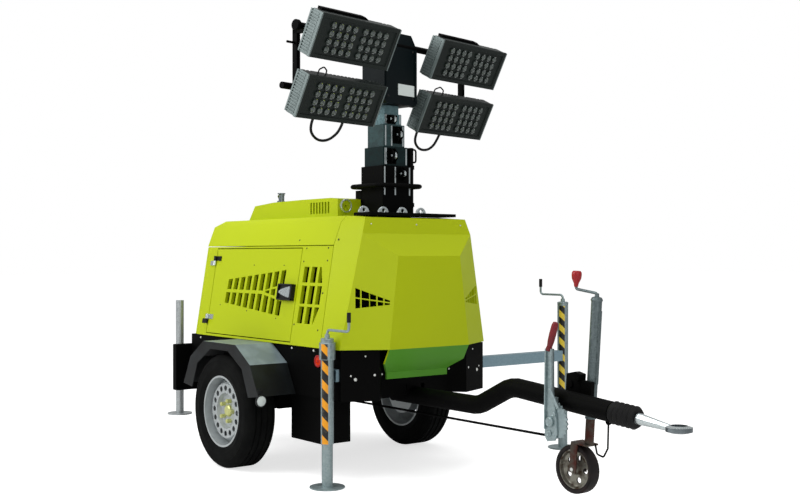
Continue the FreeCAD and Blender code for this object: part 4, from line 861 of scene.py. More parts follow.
@dataclass
class Canopy:
    """Lime canopy: roof, leaning sides with doors, faceted cowl and the duct on the roof."""

    nodes: dict[str, Any]
    fasteners: Fasteners
    rivet_radius: float = 5.0
    hinge_split: float = 940.0
    latch: tuple[float, float] = (278.0, 945.0)
    grille_columns: tuple[tuple[float, float], ...] = ((79, 104), (110, 149), (152, 184), (190, 219), (225, 252))
    duct_half: float = 252.0
    slats: tuple[float, ...] = tuple(208.0 + 28.0 * k for k in range(7))
    slat_width: float = 15.0
    sheet_skin: float = 0.6
    latch_tray: tuple[float, float] = (69.0, 43.0)
    roof_screw_z: float = 1222.0
    roof_slope: tuple[float, float] = (45.0, 115.0)

    def build(self) -> None:
        """Dress the canopy's CAD pieces and add its trim."""
        for name in ("roof", "rear_panel"):
            softened(self.nodes, name, "chassis", 5.0, [LIME])
        # The cowl's faces below 590 mm, and its downward faces below 700 mm, take the painted-shade copy of the coat
        softened(self.nodes, "front_cowl", "chassis", 5.0, [LIME, LIME_PAINTED_SHADE],
                 lambda centre, normal: 1 if centre.z < (700 if normal.z < -0.12 else 590) else 0,
                 openings=self.cowl_slots())
        softened(self.nodes, "roof_duct", "chassis", 4.0, [LIME, LINER], self.duct_part, openings=self.duct_slots())
        for side in Side:
            self.side(LeaningSide(side))
        self.duct_ring()
        self.exhaust()
        self.roof_screws()

    def cowl_slots(self) -> Solid:
        """Cutter for two rows of slots in each slanting face of the cowl, and the dark foam behind them."""
        cutter, liner = Solid(), Solid()
        for side in Side:
            facet = CowlFacet(side)
            for near, far in self.grille_columns:
                edges = [(u, 206 + 0.1 * (u - 85), 252 - 0.15 * (u - 100), 258 - 0.15 * (u - 100),
                          300 - 0.37 * (u - 98)) for u in (near, far)]
                for foot, top in ((1, 2), (3, 4)):
                    facet.patch([(edges[0][0], edges[0][foot]), (edges[1][0], edges[1][foot]),
                                 (edges[1][0], edges[1][top]), (edges[0][0], edges[0][top])], -60, 30, cutter)
            facet.patch([(66, 190), (270, 190), (270, 312), (66, 312)], -44, -38, liner)
        liner.piece("cowl_liner", "chassis", LINER)
        return cutter

    def duct_slots(self) -> Solid:
        """Cutter for the upright outlet slots in both walls of the duct."""
        cutter = Solid()
        for sign in (-1, 1):
            near, far = sorted((sign * (self.duct_half + 5), sign * (self.duct_half - 14)))
            for x in self.slats:
                cutter.block((x, near, 1366), (x + self.slat_width, far, 1428))
        return cutter

    def duct_part(self, centre: Vector, normal: Vector) -> int:
        """Number of the finish: the duct, or the foam at the foot of its slots."""
        deep = self.duct_half - 15 < abs(centre.y) < self.duct_half - 12
        return 1 if deep and 200 < centre.x < 400 and 1365 < centre.z < 1429 else 0

    def duct_ring(self) -> None:
        """Flanged ring with a cross-barred mouth that stands at the front of the duct."""
        ring = Solid()
        place = facing(Vector((468, -204, 1404)), X_WAY)
        ring.turned([(29, 0), (37, 0), (37, 14), (34, 17), (31, 17), (29, 14)], place, 40, ring=True)
        ring.finish = 1
        ring.turned([(0, 0), (29.5, 0), (29.5, 4), (0, 4)], place, 40)
        for turn in (20, 80, 140):
            bar = place @ Matrix.Rotation(math.radians(turn), 4, "Z")
            ring.block((-29, -3, 3), (29, 3, 9), bar, 1.0)
        ring.piece("duct_ring", "chassis", BRIGHT, LIME)

    def exhaust(self) -> None:
        """Chromed stack with its rain flap, tipped back on its hinge."""
        painted(self.nodes, CHROME, "exhaust_pipe")
        flap = Solid()
        lean = Matrix.Translation((-343, -95, 1494)) @ Matrix.Rotation(math.radians(-24), 4, "Y")
        flap.turned([(0, 0), (21, 0), (22, 1.5), (21, 4), (0, 6)], lean, 32)
        flap.block((-27, -6, -4), (-14, 6, 8), lean, 1.5)
        flap.turned([(18, -60), (23, -58), (23, -46), (18, -44)], Matrix.Translation((-345, -95, 1510)), 32, True)
        flap.piece("exhaust_flap", "chassis", CHROME)

    def side(self, plane: LeaningSide) -> None:
        """Dress one side: panel, door, liner, hinges, latch and rivets."""
        word = plane.side.word

        # A hinge is one metal throughout, yet one leaf of each hinge takes a dark finish and the other a bright one,
        # crossed between the upper and lower hinges: painted shade and painted highlight
        def fixed(centre: Vector, normal: Vector) -> int:
            """Number of the finish: the sheet, its lower hinge leaf or its upper one."""
            if plane.outside(centre) < self.sheet_skin:
                return 0
            return 1 if centre.z < self.hinge_split else 2

        def moving(centre: Vector, normal: Vector) -> int:
            """Number of the finish: the sheet, the dark latch and hinge leaf, or the bright leaf."""
            if plane.outside(centre) < self.sheet_skin:
                return 0
            return 2 if centre.x < 0 and centre.z < self.hinge_split else 1

        softened(self.nodes, "side_panel_" + word, "chassis", 1.6, [LIME, TRIM, BRIGHT], fixed)
        softened(self.nodes, "door_" + word, "door_" + word, 1.6, [LIME, TRIM, BRIGHT], moving)
        for name, body, low, high in (("door_liner_", "door_" + word, (-420, 770), (300, 1120)),
                                      ("panel_liner_", "chassis", (380, 740), (610, 1120))):
            liner = Solid()
            corners = [(low[0], low[1]), (high[0], low[1]), (high[0], high[1]), (low[0], high[1])]
            if plane.side is Side.LEFT:
                corners = [(-x, z) for x, z in corners]
            liner.plate([(x, (z - plane.belt_z) / math.cos(plane.lean)) for x, z in corners],
                        plane.place(0, plane.belt_z, -34.0), 6.0)
            liner.piece(name + word, body, LINER)
        self.latch_detail(plane)
        for x, z in ((405, 1179), (605, 1180), (393, 1110), (611, 1115), (608, 763), (382, 782), (608, 950)):
            self.fasteners.add("chassis", Head.RIVET, TRIM, self.rivet_radius, plane.at(x, z), plane.normal)
        for x, z in ((-108, 1087), (205, 1088), (-430, 856), (-121, 833), (194, 805)):
            self.fasteners.add("door_" + word, Head.RIVET, TRIM, self.rivet_radius * 0.8, plane.at(x, z),
                               plane.normal)

    def latch_detail(self, plane: LeaningSide) -> None:
        """Paddle latch: dished tray, chromed paddle that widens to its grip, and lock barrel."""
        word = plane.side.word
        x, z = self.latch
        latch = Solid()
        flip = -1 if plane.side is Side.LEFT else 1
        place = plane.place(x, z, 16.0) @ Matrix.Diagonal((flip, 1, 1, 1))
        wide, high = self.latch_tray
        for near, far in (((-wide, -high), (wide, 7 - high)), ((-wide, high - 7), (wide, high)),
                          ((-wide, -high), (8 - wide, high)), ((wide - 8, -high), (wide, high))):
            latch.block((*near, -2), (*far, 9), place, 2)
        latch.finish = 1
        latch.plate([(-34, -12), (18, -24), (52, -30), (57, -25), (57, 25), (52, 30), (18, 24), (-34, 12)],
                    place @ Matrix.Translation((0, 0, 2)), 9, 2)
        latch.turned([(0, 0), (9, 0), (9, 6), (7, 8), (0, 8)], place @ Matrix.Translation((-48, 0, 0)), 28)
        latch.piece("latch_" + word, "door_" + word, TRIM, BRIGHT)

    def roof_screws(self) -> None:
        """Rivets along the roof slope and round the cowl's brow."""
        for side in Side:
            sign = side.value
            slope = Vector((0, sign * 0.94, 0.34))
            run, rise = self.roof_slope
            y = sign * (LeaningSide.gutter_half - (self.roof_screw_z - LeaningSide.gutter_z) * run / rise)
            for x in (316, 675):
                self.fasteners.add("chassis", Head.RIVET, TRIM, self.rivet_radius,
                                   Vector((x, y, self.roof_screw_z)), slope)
        for y in (-300, -10, 290):
            self.fasteners.add("chassis", Head.DOME, BOLT, self.rivet_radius * 0.8, Vector((832, y, 1300)),
                               Vector((0.99, 0, 0.13)))


@dataclass
class Chassis:
    """Black frame, skirt, axle, mudguards, tail boards and what is bolted to them."""

    nodes: dict[str, Any]
    fasteners: Fasteners
    frame_face: float = 470.0
    marker_y: float = 686.0
    tail_lamp_y: float = 463.0

    def build(self) -> None:
        """Dress the frame and add bolts, reflectors, arm caps and tail lamps."""
        painted(self.nodes, DEEP_BLACK, "frame_side_left", "frame_side_right", "floor_pan", "rear_beam",
                "front_beam", "axle", "brake_rod")
        for name, width in (("front_skirt", 2.0), ("side_box", 3.0), ("tail_panels", 4.0)):
            softened(self.nodes, name, "chassis", width, [DEEP_BLACK])
        for side in Side:
            # The guards' upward faces take the lighter copy of the plastic: painted highlight
            softened(self.nodes, "mudguard_" + side.word, "chassis", 5.0, [GUARD, GUARD_PAINTED_HIGHLIGHT],
                     lambda centre, normal: 1 if normal.z > 0.8 else 0, sharp=20)
            self.side_fittings(side)
        painted(self.nodes, ENGINE, "engine_block")
        painted(self.nodes, AMBER, "side_reflectors")

    def side_fittings(self, side: Side) -> None:
        """Bolts, reflector ring, trailing-arm cap and tail lamp of one side."""
        sign = side.value
        out = Vector((0, sign, 0))
        for x, z in ((365, 658), (570, 658), (-300, 655), (-640, 655)):
            self.fasteners.add("chassis", Head.DOME, BOLT, 7.0, Vector((x, sign * self.frame_face, z)), out)
        facet = Vector((0.93, sign * 0.37, 0))
        for x, y, z, radius in ((857, 354, 643, 5.0), (830, 423, 547, 5.0), (838, 401, 529, 9.0),
                                (873, 309, 549, 7.0), (817, 223, 543, 6.0)):
            self.fasteners.add("chassis", Head.DOME, BOLT, radius, Vector((x, sign * y, z)), facet)
        ring = Solid()
        place = facing(Vector((620, sign * 478, 608)), out)
        ring.turned([(22, -1), (31, -1), (31, 2), (28, 3.5), (24, 3.5), (22, 2)], place, 40, ring=True)
        ring.turned([(0, -1), (8, -1), (7, 2), (0, 3)], place, 28)
        ring.piece("reflector_ring_" + side.word, "chassis", RED_TRIM)
        cap = Solid()
        place = facing(Vector((205, sign * 508, 367)), out)
        cap.turned([(0, -1), (30, -1), (30, 9), (27, 13), (14, 15), (12, 12), (0, 12)], place, 40)
        cap.piece("arm_cap_" + side.word, "chassis", BRIGHT)
        marker = Solid()
        y = sign * self.marker_y
        marker.plate([(-14, -30), (14, -30), (14, 34), (-14, 34)], facing(Vector((404, y, 424)), X_WAY), 4, 1)
        marker.block((396, y - 12, 398), (411, y + 12, 412), None, 2)
        place = facing(Vector((409, y, 402)), X_WAY)
        marker.turned([(0, 0), (31, 0), (31, 9), (28, 12), (26, 9), (0, 9)], place, 40)
        marker.finish = 1
        marker.turned([(0, 8), (27, 8), (24, 12), (12, 15), (0, 16)], place, 40)
        marker.piece("front_marker_" + side.word, "chassis", TRIM, PLATE)
        lamp = Solid()
        y = sign * self.tail_lamp_y
        lamp.block((-806, y - 92, 420), (-799, y + 92, 520), None, 3)
        for number, (low, high) in enumerate(((-86, -30), (-26, 26), (30, 86))):
            lamp.finish = 1 + number % 2
            lamp.block((-818, y + low, 427), (-805, y + high, 513), None, 4)
        lamp.piece("tail_lamp_" + side.word, "chassis", TRIM, RED_LENS, AMBER)


@dataclass
class Wheel:
    """Road wheel: tyre with grooves and shoulder blocks, and a vented steel rim."""

    nodes: dict[str, Any]
    side: Side
    radius: float = 305.0
    half: float = 92.5
    centre_y: float = 607.5
    nut_reach: float = 30.6
    nut_circle: float = 75.0

    def build(self) -> None:
        """Dress the wheel."""
        word = self.side.word
        body = "wheel_" + word
        middle = Vector((0, self.side.value * self.centre_y, self.radius))
        place = facing(middle, Vector((0, self.side.value, 0)))
        tyre = Solid()
        half, edge = self.half, self.radius
        shoulder = [(186, 75), (192, 81), (205, 86), (222, 91), (226, half), (232, half - 0.6), (236, half - 2),
                    (262, half - 1), (266, half - 3), (270, half - 1.5), (281, half - 6), (292, half - 14),
                    (300, half - 24), (304, half - 34)]
        grooves = []
        for start in (46.0, 14.0, -22.0, -54.0):
            grooves += [(edge, start), (edge - 7, start - 2), (edge - 7, start - 8), (edge, start - 10)]
        profile = shoulder + grooves + [(r, -y) for r, y in shoulder[::-1]]
        tyre.turned(profile, place, 96, ring=True)
        made = tyre.piece("tyre_tread_" + word, body, TYRE)
        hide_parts("tyre_" + word)
        softened(self.nodes, "wheel_rim_" + word, body, 1.2, [RIM, NUT],
                 lambda centre, normal: 1 if abs(centre.y) - self.centre_y > self.nut_reach
                 and math.hypot(centre.x, centre.z - self.radius) < self.nut_circle else 0)
        cap = Solid()
        bowl = place @ Matrix.Translation((0, 0, 29.5))
        cap.turned([(0, 0), (33, 0), (31, 10), (24, 16), (0, 18)], bowl, 36)
        cap.finish = 1
        for k in range(5):
            spot = bowl @ Matrix.Rotation(2 * math.pi * k / 5, 4, "Z") @ Matrix.Translation((56, 0, 24))
            cap.turned([(0, 0), (8, 0), (6, 5), (0, 6)], spot, 20)
        cap.piece("hub_cap_" + word, body, NUT, NUT)


@dataclass
class Mast:
    """Telescoping mast with its fixed base, hoop and lifting gear."""

    nodes: dict[str, Any]
    axis_x: float = 560.0

    def build(self) -> None:
        """Dress the mast."""
        softened(self.nodes, "mast_base", "chassis", 1.5, [DEEP_BLACK])
        painted(self.nodes, DEEP_BLACK, "mast_hoop")
        for number in (1, 2, 3, 4):
            softened(self.nodes, "mast_section_%d" % number, "mast_%d" % number, 1.5,
                     [(FIRST_SECTION, SECOND_SECTION, MAST, MAST)[number - 1]])
        softened(self.nodes, "lug_plate", "chassis", 2.0, [DEEP_BLACK, BRIGHT],
                 lambda centre, normal: 1 if centre.z > 1361.5 else 0)
        for name, body, side, y, low, high, foot in (
                ("base", "chassis", 190.0, 25.0, 1540.0, 1606.0, 1460.0),
                ("first", "mast_1", 164.0, -26.0, 1628.0, 1706.0, 1622.0),
                ("second", "mast_2", 140.0, 20.0, 1738.0, 1826.0, 1722.0),
                ("third", "mast_3", 117.0, -12.0, 1842.0, 1886.0, 1840.0)):
            self.gear(name, body, side / 2, y, low, high, foot)
        self.cable_guide()

    def gear(self, name: str, body: str, half: float, y: float, low: float, high: float, foot: float) -> None:
        """Rope wheel between its cheeks, and the bright runners on the front face of a section.

        Args:
            name: Name of the section.
            body: Body that the gear rides on.
            half: Half the section's width.
            y: Middle of the rope wheel.
            low: Lowest level of the cheeks.
            high: Highest level of the cheeks.
            foot: Lowest level of the runners.
        """
        gear = Solid()
        front = self.axis_x + half
        middle = (low + high) / 2
        for sign in (-1, 1):
            gear.plate([(front - 1, low), (front + 14, low), (front + 40, middle - 16), (front + 40, middle + 16),
                        (front + 14, high), (front - 1, high)],
                       Matrix.Translation((0, y + sign * 10 + 2, 0)) @ Matrix.Rotation(math.pi / 2, 4, "X"), 4)
        gear.block((front - 1, y - 30, low - 4), (front + 3, y + 30, high), None, 1)
        gear.finish = 1
        wheel = facing(Vector((front + 22, y, middle)), Y_WAY)
        gear.turned([(6, -6), (19, -6), (15, -2), (15, 2), (19, 6), (6, 6)], wheel, 32, ring=True)
        gear.rod(Vector((front + 22, y - 17, middle)), Vector((front + 22, y + 17, middle)), 6, 20)
        for spot in (-half + 12, y - 38, half - 12):
            gear.block((front - 1, spot - 4, foot), (front + 3, spot + 4, high + 2), None, 1)
        gear.piece("mast_gear_" + name, body, DEEP_BLACK, BRIGHT)

    def cable_guide(self) -> None:
        """Cable duct up the left of the base, with the loop that keeps the cable in."""
        guide = Solid()
        guide.block((600, 94, 1362), (648, 117, 1716), None, 3)
        guide.pipe([Vector((636, 110, 1708)), Vector((636, 143, 1708)), Vector((636, 143, 1640)),
                    Vector((636, 110, 1640))], 5, 12)
        for z in (1400, 1500, 1600):
            guide.block((596, 93, z), (652, 120, z + 22), None, 2)
        guide.piece("cable_guide", "chassis", DEEP_BLACK)


@dataclass
class LampHead:
    """Head that turns on the mast, with four floodlights that tilt on its bars."""

    nodes: dict[str, Any]
    fasteners: Fasteners
    mast_x: float = 560.0
    yaw: float = 9.7
    tilt: float = 27.0
    side_y: float = 445.0
    wide: float = 540.0
    high: float = 220.0
    bar_back: float = 140.0
    bar_radius: float = 17.0
    post: tuple[float, float] = (630.0, 654.0)
    knob: tuple[float, float] = (718.0, 741.0)
    bezel_depth: float = 7.0
    lens_rows: tuple[float, ...] = (-61.5, -20.5, 20.5, 61.5)
    lens_start: float = 36.0
    lens_pitch: float = 48.5
    cup_radius: float = 17.0
    lens_radius: float = 11.5
    end_fins: int = 14
    end_fin_pitch: float = 14.6

    @property
    def head_place(self) -> Matrix:
        """Placement of the head: X ahead of it, about the mast's axis."""
        return Matrix.Translation((self.mast_x, 0, 0)) @ Matrix.Rotation(math.radians(self.yaw), 4, "Z")

    def lamp_place(self, row: Row, side: Side) -> Matrix:
        """Placement of a lamp: X out of its front face, Y across and Z up its face."""
        ahead, level = row.value
        return (self.head_place @ Matrix.Translation((ahead, side.value * self.side_y, level))
                @ Matrix.Rotation(math.radians(self.tilt), 4, "Y"))

    def bar(self, row: Row) -> tuple[float, float]:
        """Distance ahead of the mast and level of a row's bar."""
        ahead, level = row.value
        turn = math.radians(self.tilt)
        return ahead - self.bar_back * math.cos(turn), level + self.bar_back * math.sin(turn)

    def build(self) -> None:
        """Dress the head and each lamp."""
        softened(self.nodes, "lamp_head", "head", 3.0, [DEEP_BLACK])
        self.cover()
        self.bar_fittings()
        lens_tree = self.lens_tree()
        for row in Row:
            for side in Side:
                self.lamp(row, side, lens_tree)
        self.lower_extras()

    def cover(self) -> None:
        """Housing of the turning gear, with chamfered shoulders, and the blank plate on its front."""
        cover = Solid()
        across = self.head_place @ Matrix(((0, 0, 1, 0), (1, 0, 0, 0), (0, 1, 0, 0), (0, 0, 0, 1)))
        outline = [(-112, 1939), (112, 1939), (128, 1956), (128, 2244), (82, 2313), (-82, 2313), (-128, 2244),
                   (-128, 1956)]
        cover.plate(outline, across @ Matrix.Translation((0, 0, -52)), 159, 7)
        for y in (-112, 112):
            cover.block((106, y - 5, 1966), (110, y + 5, 2236), self.head_place, 1.5)
        cover.finish = 1
        cover.block((106, -22, 1988), (109, 104, 2047), self.head_place, 1)
        cover.piece("head_cover", "head", HEAD_COAT, PLATE)
        for y in (-96, 96):
            for z in (1976, 2226):
                self.fasteners.add("head", Head.DOME, TRIM, 6.0, self.head_place @ Vector((107, y, z)),
                                   self.head_place.to_3x3() @ X_WAY)

    def bar_fittings(self) -> None:
        """Posts and arms that join the bars near their ends, the upper bar's knobs and the locking pin."""
        frame = Solid()
        upper, lower = self.bar(Row.UPPER), self.bar(Row.LOWER)
        bar = self.bar_radius
        for sign in (-1, 1):
            near, far = sorted(sign * y for y in self.post)
            for foot, ahead in ((lower[1], lower[0] + 14), (upper[1], upper[0] + bar)):
                frame.block((lower[0] - bar, near, foot - bar), (ahead, far, upper[1] + bar), self.head_place, 3)
            inner, outer = [self.head_place @ Vector((upper[0], sign * y, upper[1])) for y in self.knob]
            frame.rod(inner, outer, 27, 28, 3)
        pin = [self.head_place @ Vector((lower[0] - 4, y, upper[1] - 62)) for y in (-650, -702)]
        frame.rod(pin[0], pin[1], 6, 20)
        frame.piece("bar_frame", "head", DEEP_BLACK)

    def lens_tree(self) -> Repeater:
        """Tree for one light source: a dished reflector with a domed lens in it."""
        work = Repeater("lamp_lenses")
        work.size("Cup Radius", self.cup_radius / 1000)
        work.size("Lens Radius", self.lens_radius / 1000)
        work.finish_input("Cup Finish")
        work.finish_input("Lens Finish")
        entry = work.begin()
        cup = add_node(work.tree, "GeometryNodeMeshCone", {
            "Vertices": 20, "Radius Top": entry.outputs["Cup Radius"], "Radius Bottom": entry.outputs["Lens Radius"],
            "Depth": 0.005}, fill_type="NONE").outputs["Mesh"]
        ball = add_node(work.tree, "GeometryNodeMeshUVSphere", {
            "Segments": 14, "Rings": 8, "Radius": entry.outputs["Lens Radius"]}).outputs["Mesh"]
        dome = add_node(work.tree, "GeometryNodeTransform", {"Geometry": ball, "Scale": (1.0, 1.0, 0.7)}).outputs[0]
        work.finish(work.joined(work.painted(cup, entry.outputs["Cup Finish"]),
                                work.painted(dome, entry.outputs["Lens Finish"])))
        return work

    def lamp(self, row: Row, side: Side, lens_tree: Repeater) -> None:
        """Dress one lamp.

        Args:
            row: Row of the lamp.
            side: Side of the lamp.
            lens_tree: Tree that sets its light sources.
        """
        name = "%s_%s" % (row.word, side.word)
        body = "lamp_" + name
        place = self.lamp_place(row, side)
        back = place.inverted()
        edge = self.wide / 2 - 0.5

        def part(centre: Vector, normal: Vector) -> int:
            """Number of the finish: the case, its bare ends or its face."""
            spot = back @ centre
            if abs(spot.y) > edge:
                return 1
            return 2 if spot.x > -self.bezel_depth else 0

        softened(self.nodes, "lamp_" + name, body, 1.5, [LAMP, LAMP_END, BEZEL], part)
        columns = [sign * (self.lens_start + self.lens_pitch * k) for sign in (-1, 1) for k in range(4)]
        front = (place.to_3x3() @ X_WAY).normalized()
        spots = [(place @ Vector((-3.5, y, z)), front) for z in self.lens_rows for y in columns]
        lens_tree.grown("lenses_" + name, body, spots, {
            "Cup Radius": self.cup_radius / 1000, "Lens Radius": self.lens_radius / 1000,
            "Cup Finish": CUP.material(), "Lens Finish": LENS.material()}, [CUP, LENS])
        trim = Solid()
        half, top = self.wide / 2, self.high / 2
        for sign in (-1, 1):
            near, far = sorted((sign * (half - 1), sign * (half + 7)))
            trim.block((-16, near, -top), (0, far, top), place, 2)
            near, far = sorted((sign * (half - 1), sign * (half + 5)))
            for rise in (self.end_fin_pitch * k for k in range(self.end_fins)):
                trim.block((-78, near, -top + 12 + rise), (-22, far, -top + 18 + rise), place)
            trim.block((-90, near, -top + 4), (-80, far, top - 4), place, 2)
        trim.finish = 1
        trim.block((-6, -half + 2, top - 3), (1, half - 2, top + 3), place, 1)
        trim.finish = 2
        if row is Row.UPPER:
            trim.prism(*[[place @ Vector((x, y, z)) for y, z in ((-236, 109), (96, 109), (60, 123), (-236, 123))]
                         for x in (-90, -58)])
        else:
            span = (-175, -124) if side is Side.RIGHT else (-200, -128)
            middle = sum(span) / 2
            trim.pipe([place @ Vector((-50, span[0], 108)), place @ Vector((-50, span[0], 130)),
                       place @ Vector((-50, middle, 146)), place @ Vector((-50, span[1], 130)),
                       place @ Vector((-50, span[1], 108))], 3.6, 12)
        trim.piece("lamp_trim_" + name, body, LAMP_END, LAMP, DEEP_BLACK)

    def lower_extras(self) -> None:
        """Cables under the lower lamps, from gland to gland, each riding on its lamp."""
        routes = {
            Side.RIGHT: ((-60, -101, -128), (-60, -101, -166), (-60, -74, -208), (-60, -14, -237), (-60, 50, -229),
                         (-60, 94, -190), (-60, 107, -150), (-60, 107, -128)),
            Side.LEFT: ((-60, -206, -128), (-58, -208, -164), (-46, -196, -196), (-34, -160, -218), (-30, -104, -214),
                        (-40, -58, -190), (-50, -34, -160), (-50, -30, -128)),
        }
        for side, route in routes.items():
            place = self.lamp_place(Row.LOWER, side)
            body = "lamp_lower_" + side.word
            ends = Solid()
            for end in (0, -1):
                x, y, _ = route[end]
                gland = place @ Matrix.Translation((x, y, 0))
                ends.turned([(0, -128), (7, -128), (9, -124), (9, -116), (12, -115), (12, -106), (0, -106)],
                            gland, 28)
            ends.piece("glands_" + side.word, body, TRIM)
            self.cable("lamp_cable_" + side.word, body, [to_frame() @ place @ Vector(point) for point in route])

    def cable(self, name: str, body: str, points: Sequence[Vector], diameter: float = 0.014) -> None:
        """Cable along a route in metres."""
        curve = bpy.data.curves.new(name, "CURVE")
        curve.dimensions = "3D"
        curve.resolution_u = 16
        spline = curve.splines.new("NURBS")
        spline.points.add(len(points) - 1)
        for point, place in zip(spline.points, points):
            point.co = (*place, 1.0)
        spline.order_u = 3
        spline.use_endpoint_u = True
        cable = linked(name, curve)
        line = bpy.data.meshes.new_from_object(cable.evaluated_get(bpy.context.evaluated_depsgraph_get()))
        curve.bevel_depth = diameter / 2
        curve.bevel_resolution = 5
        curve.use_fill_caps = True
        curve.materials.append(CABLE.material())
        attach(cable, body)


@dataclass
class Stabilisers:
    """Jacks on sliding arms at the front and sliding legs at the rear."""

    nodes: dict[str, Any]
    tube_radius: float = 32.0
    tube_length: float = 514.0
    collar_radius: float = 40.0
    crank_reach: float = 183.0

    def build(self) -> None:
        """Dress the stabilisers."""
        self.jack(Side.RIGHT, Vector((766, -520, 214)), 1, TAPE)
        self.jack(Side.LEFT, Vector((694, 1216, 345)), -1, TAPE_FAR)
        for side in Side:
            word = side.word
            painted(self.nodes, ARM_ZINC, "stabiliser_arm_" + word)
            softened(self.nodes, "rear_leg_" + word, "rear_leg_" + word, 1.5, [PALE_ZINC])
            softened(self.nodes, "rear_clamp_" + word, "chassis", 2.0, [ZINC])

    def jack(self, side: Side, foot: Vector, crank_way: int, tape: Finish) -> None:
        """Jack tube with its collar, tape and crank, and the leg that slides in it.

        Args:
            side: Side of the trailer.
            foot: Middle of the tube's lower end.
            crank_way: Sign of the X towards which the crank points.
            tape: Finish of the tape.
        """
        word = side.word
        place = Matrix.Translation(foot)
        top = self.tube_length
        jack = Solid()
        jack.turned([(28, 0), (31, 0), (32, 1.5), (32, top - 2), (30, top), (28, top)], place, 40, ring=True)
        collar = side is Side.RIGHT
        if collar:
            jack.turned([(32, top - 98), (39, top - 98), (40, top - 96), (40, top - 16), (38, top - 14),
                         (32, top - 14)], place, 40, ring=True)
        for sign in (-1, 1) if collar else ():
            near, far = sorted((sign * 36, sign * 47))
            jack.block((near, -7, top - 98), (far, 7, top - 64), place, 2)
            jack.block((near, -7, top - 40), (far, 7, top - 18), place, 2)
        jack.turned([(0, top - 1), (33, top - 1), (33, top + 4), (26, top + 8), (13, top + 9), (12, top + 26),
                     (0, top + 26)], place, 40)
        reach = crank_way * self.crank_reach
        jack.pipe([place @ Vector((x, 0, top + rise)) for x, rise in ((0, 20), (0, 48), (reach, 48), (reach, 138))],
                  6.5, 20, 18)
        jack.finish = 1
        jack.rod(place @ Vector((reach, 0, top + 92)), place @ Vector((reach, 0, top + 140)), 10)
        jack.finish = 2
        self.tape(jack, place, self.tube_radius, 4, top - (97 if collar else 16))
        if collar:
            self.tape(jack, place, self.collar_radius, top - 95, top - 20)
        made = jack.piece("jack_" + word, "arm_" + word, ZINC, TRIM, tape)
        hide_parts("stabiliser_tube_" + word)
        leg = Solid()
        ground = Matrix.Translation((foot.x, foot.y, 0))
        leg.turned([(0, 4), (27.4, 4), (27.4, 517), (25, 520), (0, 520)], ground, 40)
        leg.finish = 1
        leg.turned([(0, 0), (84, 0), (88, 3), (87, 8), (62, 9), (40, 6), (34, 9), (0, 9)], ground, 56)
        made = leg.piece("jack_leg_" + word, "leg_" + word, ZINC, ZINC)
        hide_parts("stabiliser_leg_" + word)

    def tape(self, jack: Solid, place: Matrix, on: float, low: float, high: float) -> None:
        """Strip of tape on the half of the tube that faces outwards and forwards."""
        strip = []
        for radius in (on - 0.5, on + 1.0):
            strip.append([Vector((radius * math.cos(t), radius * math.sin(t), 0)) for t in
                          (math.radians(-56 + (k - 4) * 240 / on) for k in range(9))])
        outline = [*strip[1], *strip[0][::-1]]
        jack.prism(*[[place @ (point + Z_WAY * z) for point in outline] for z in (low, high)])


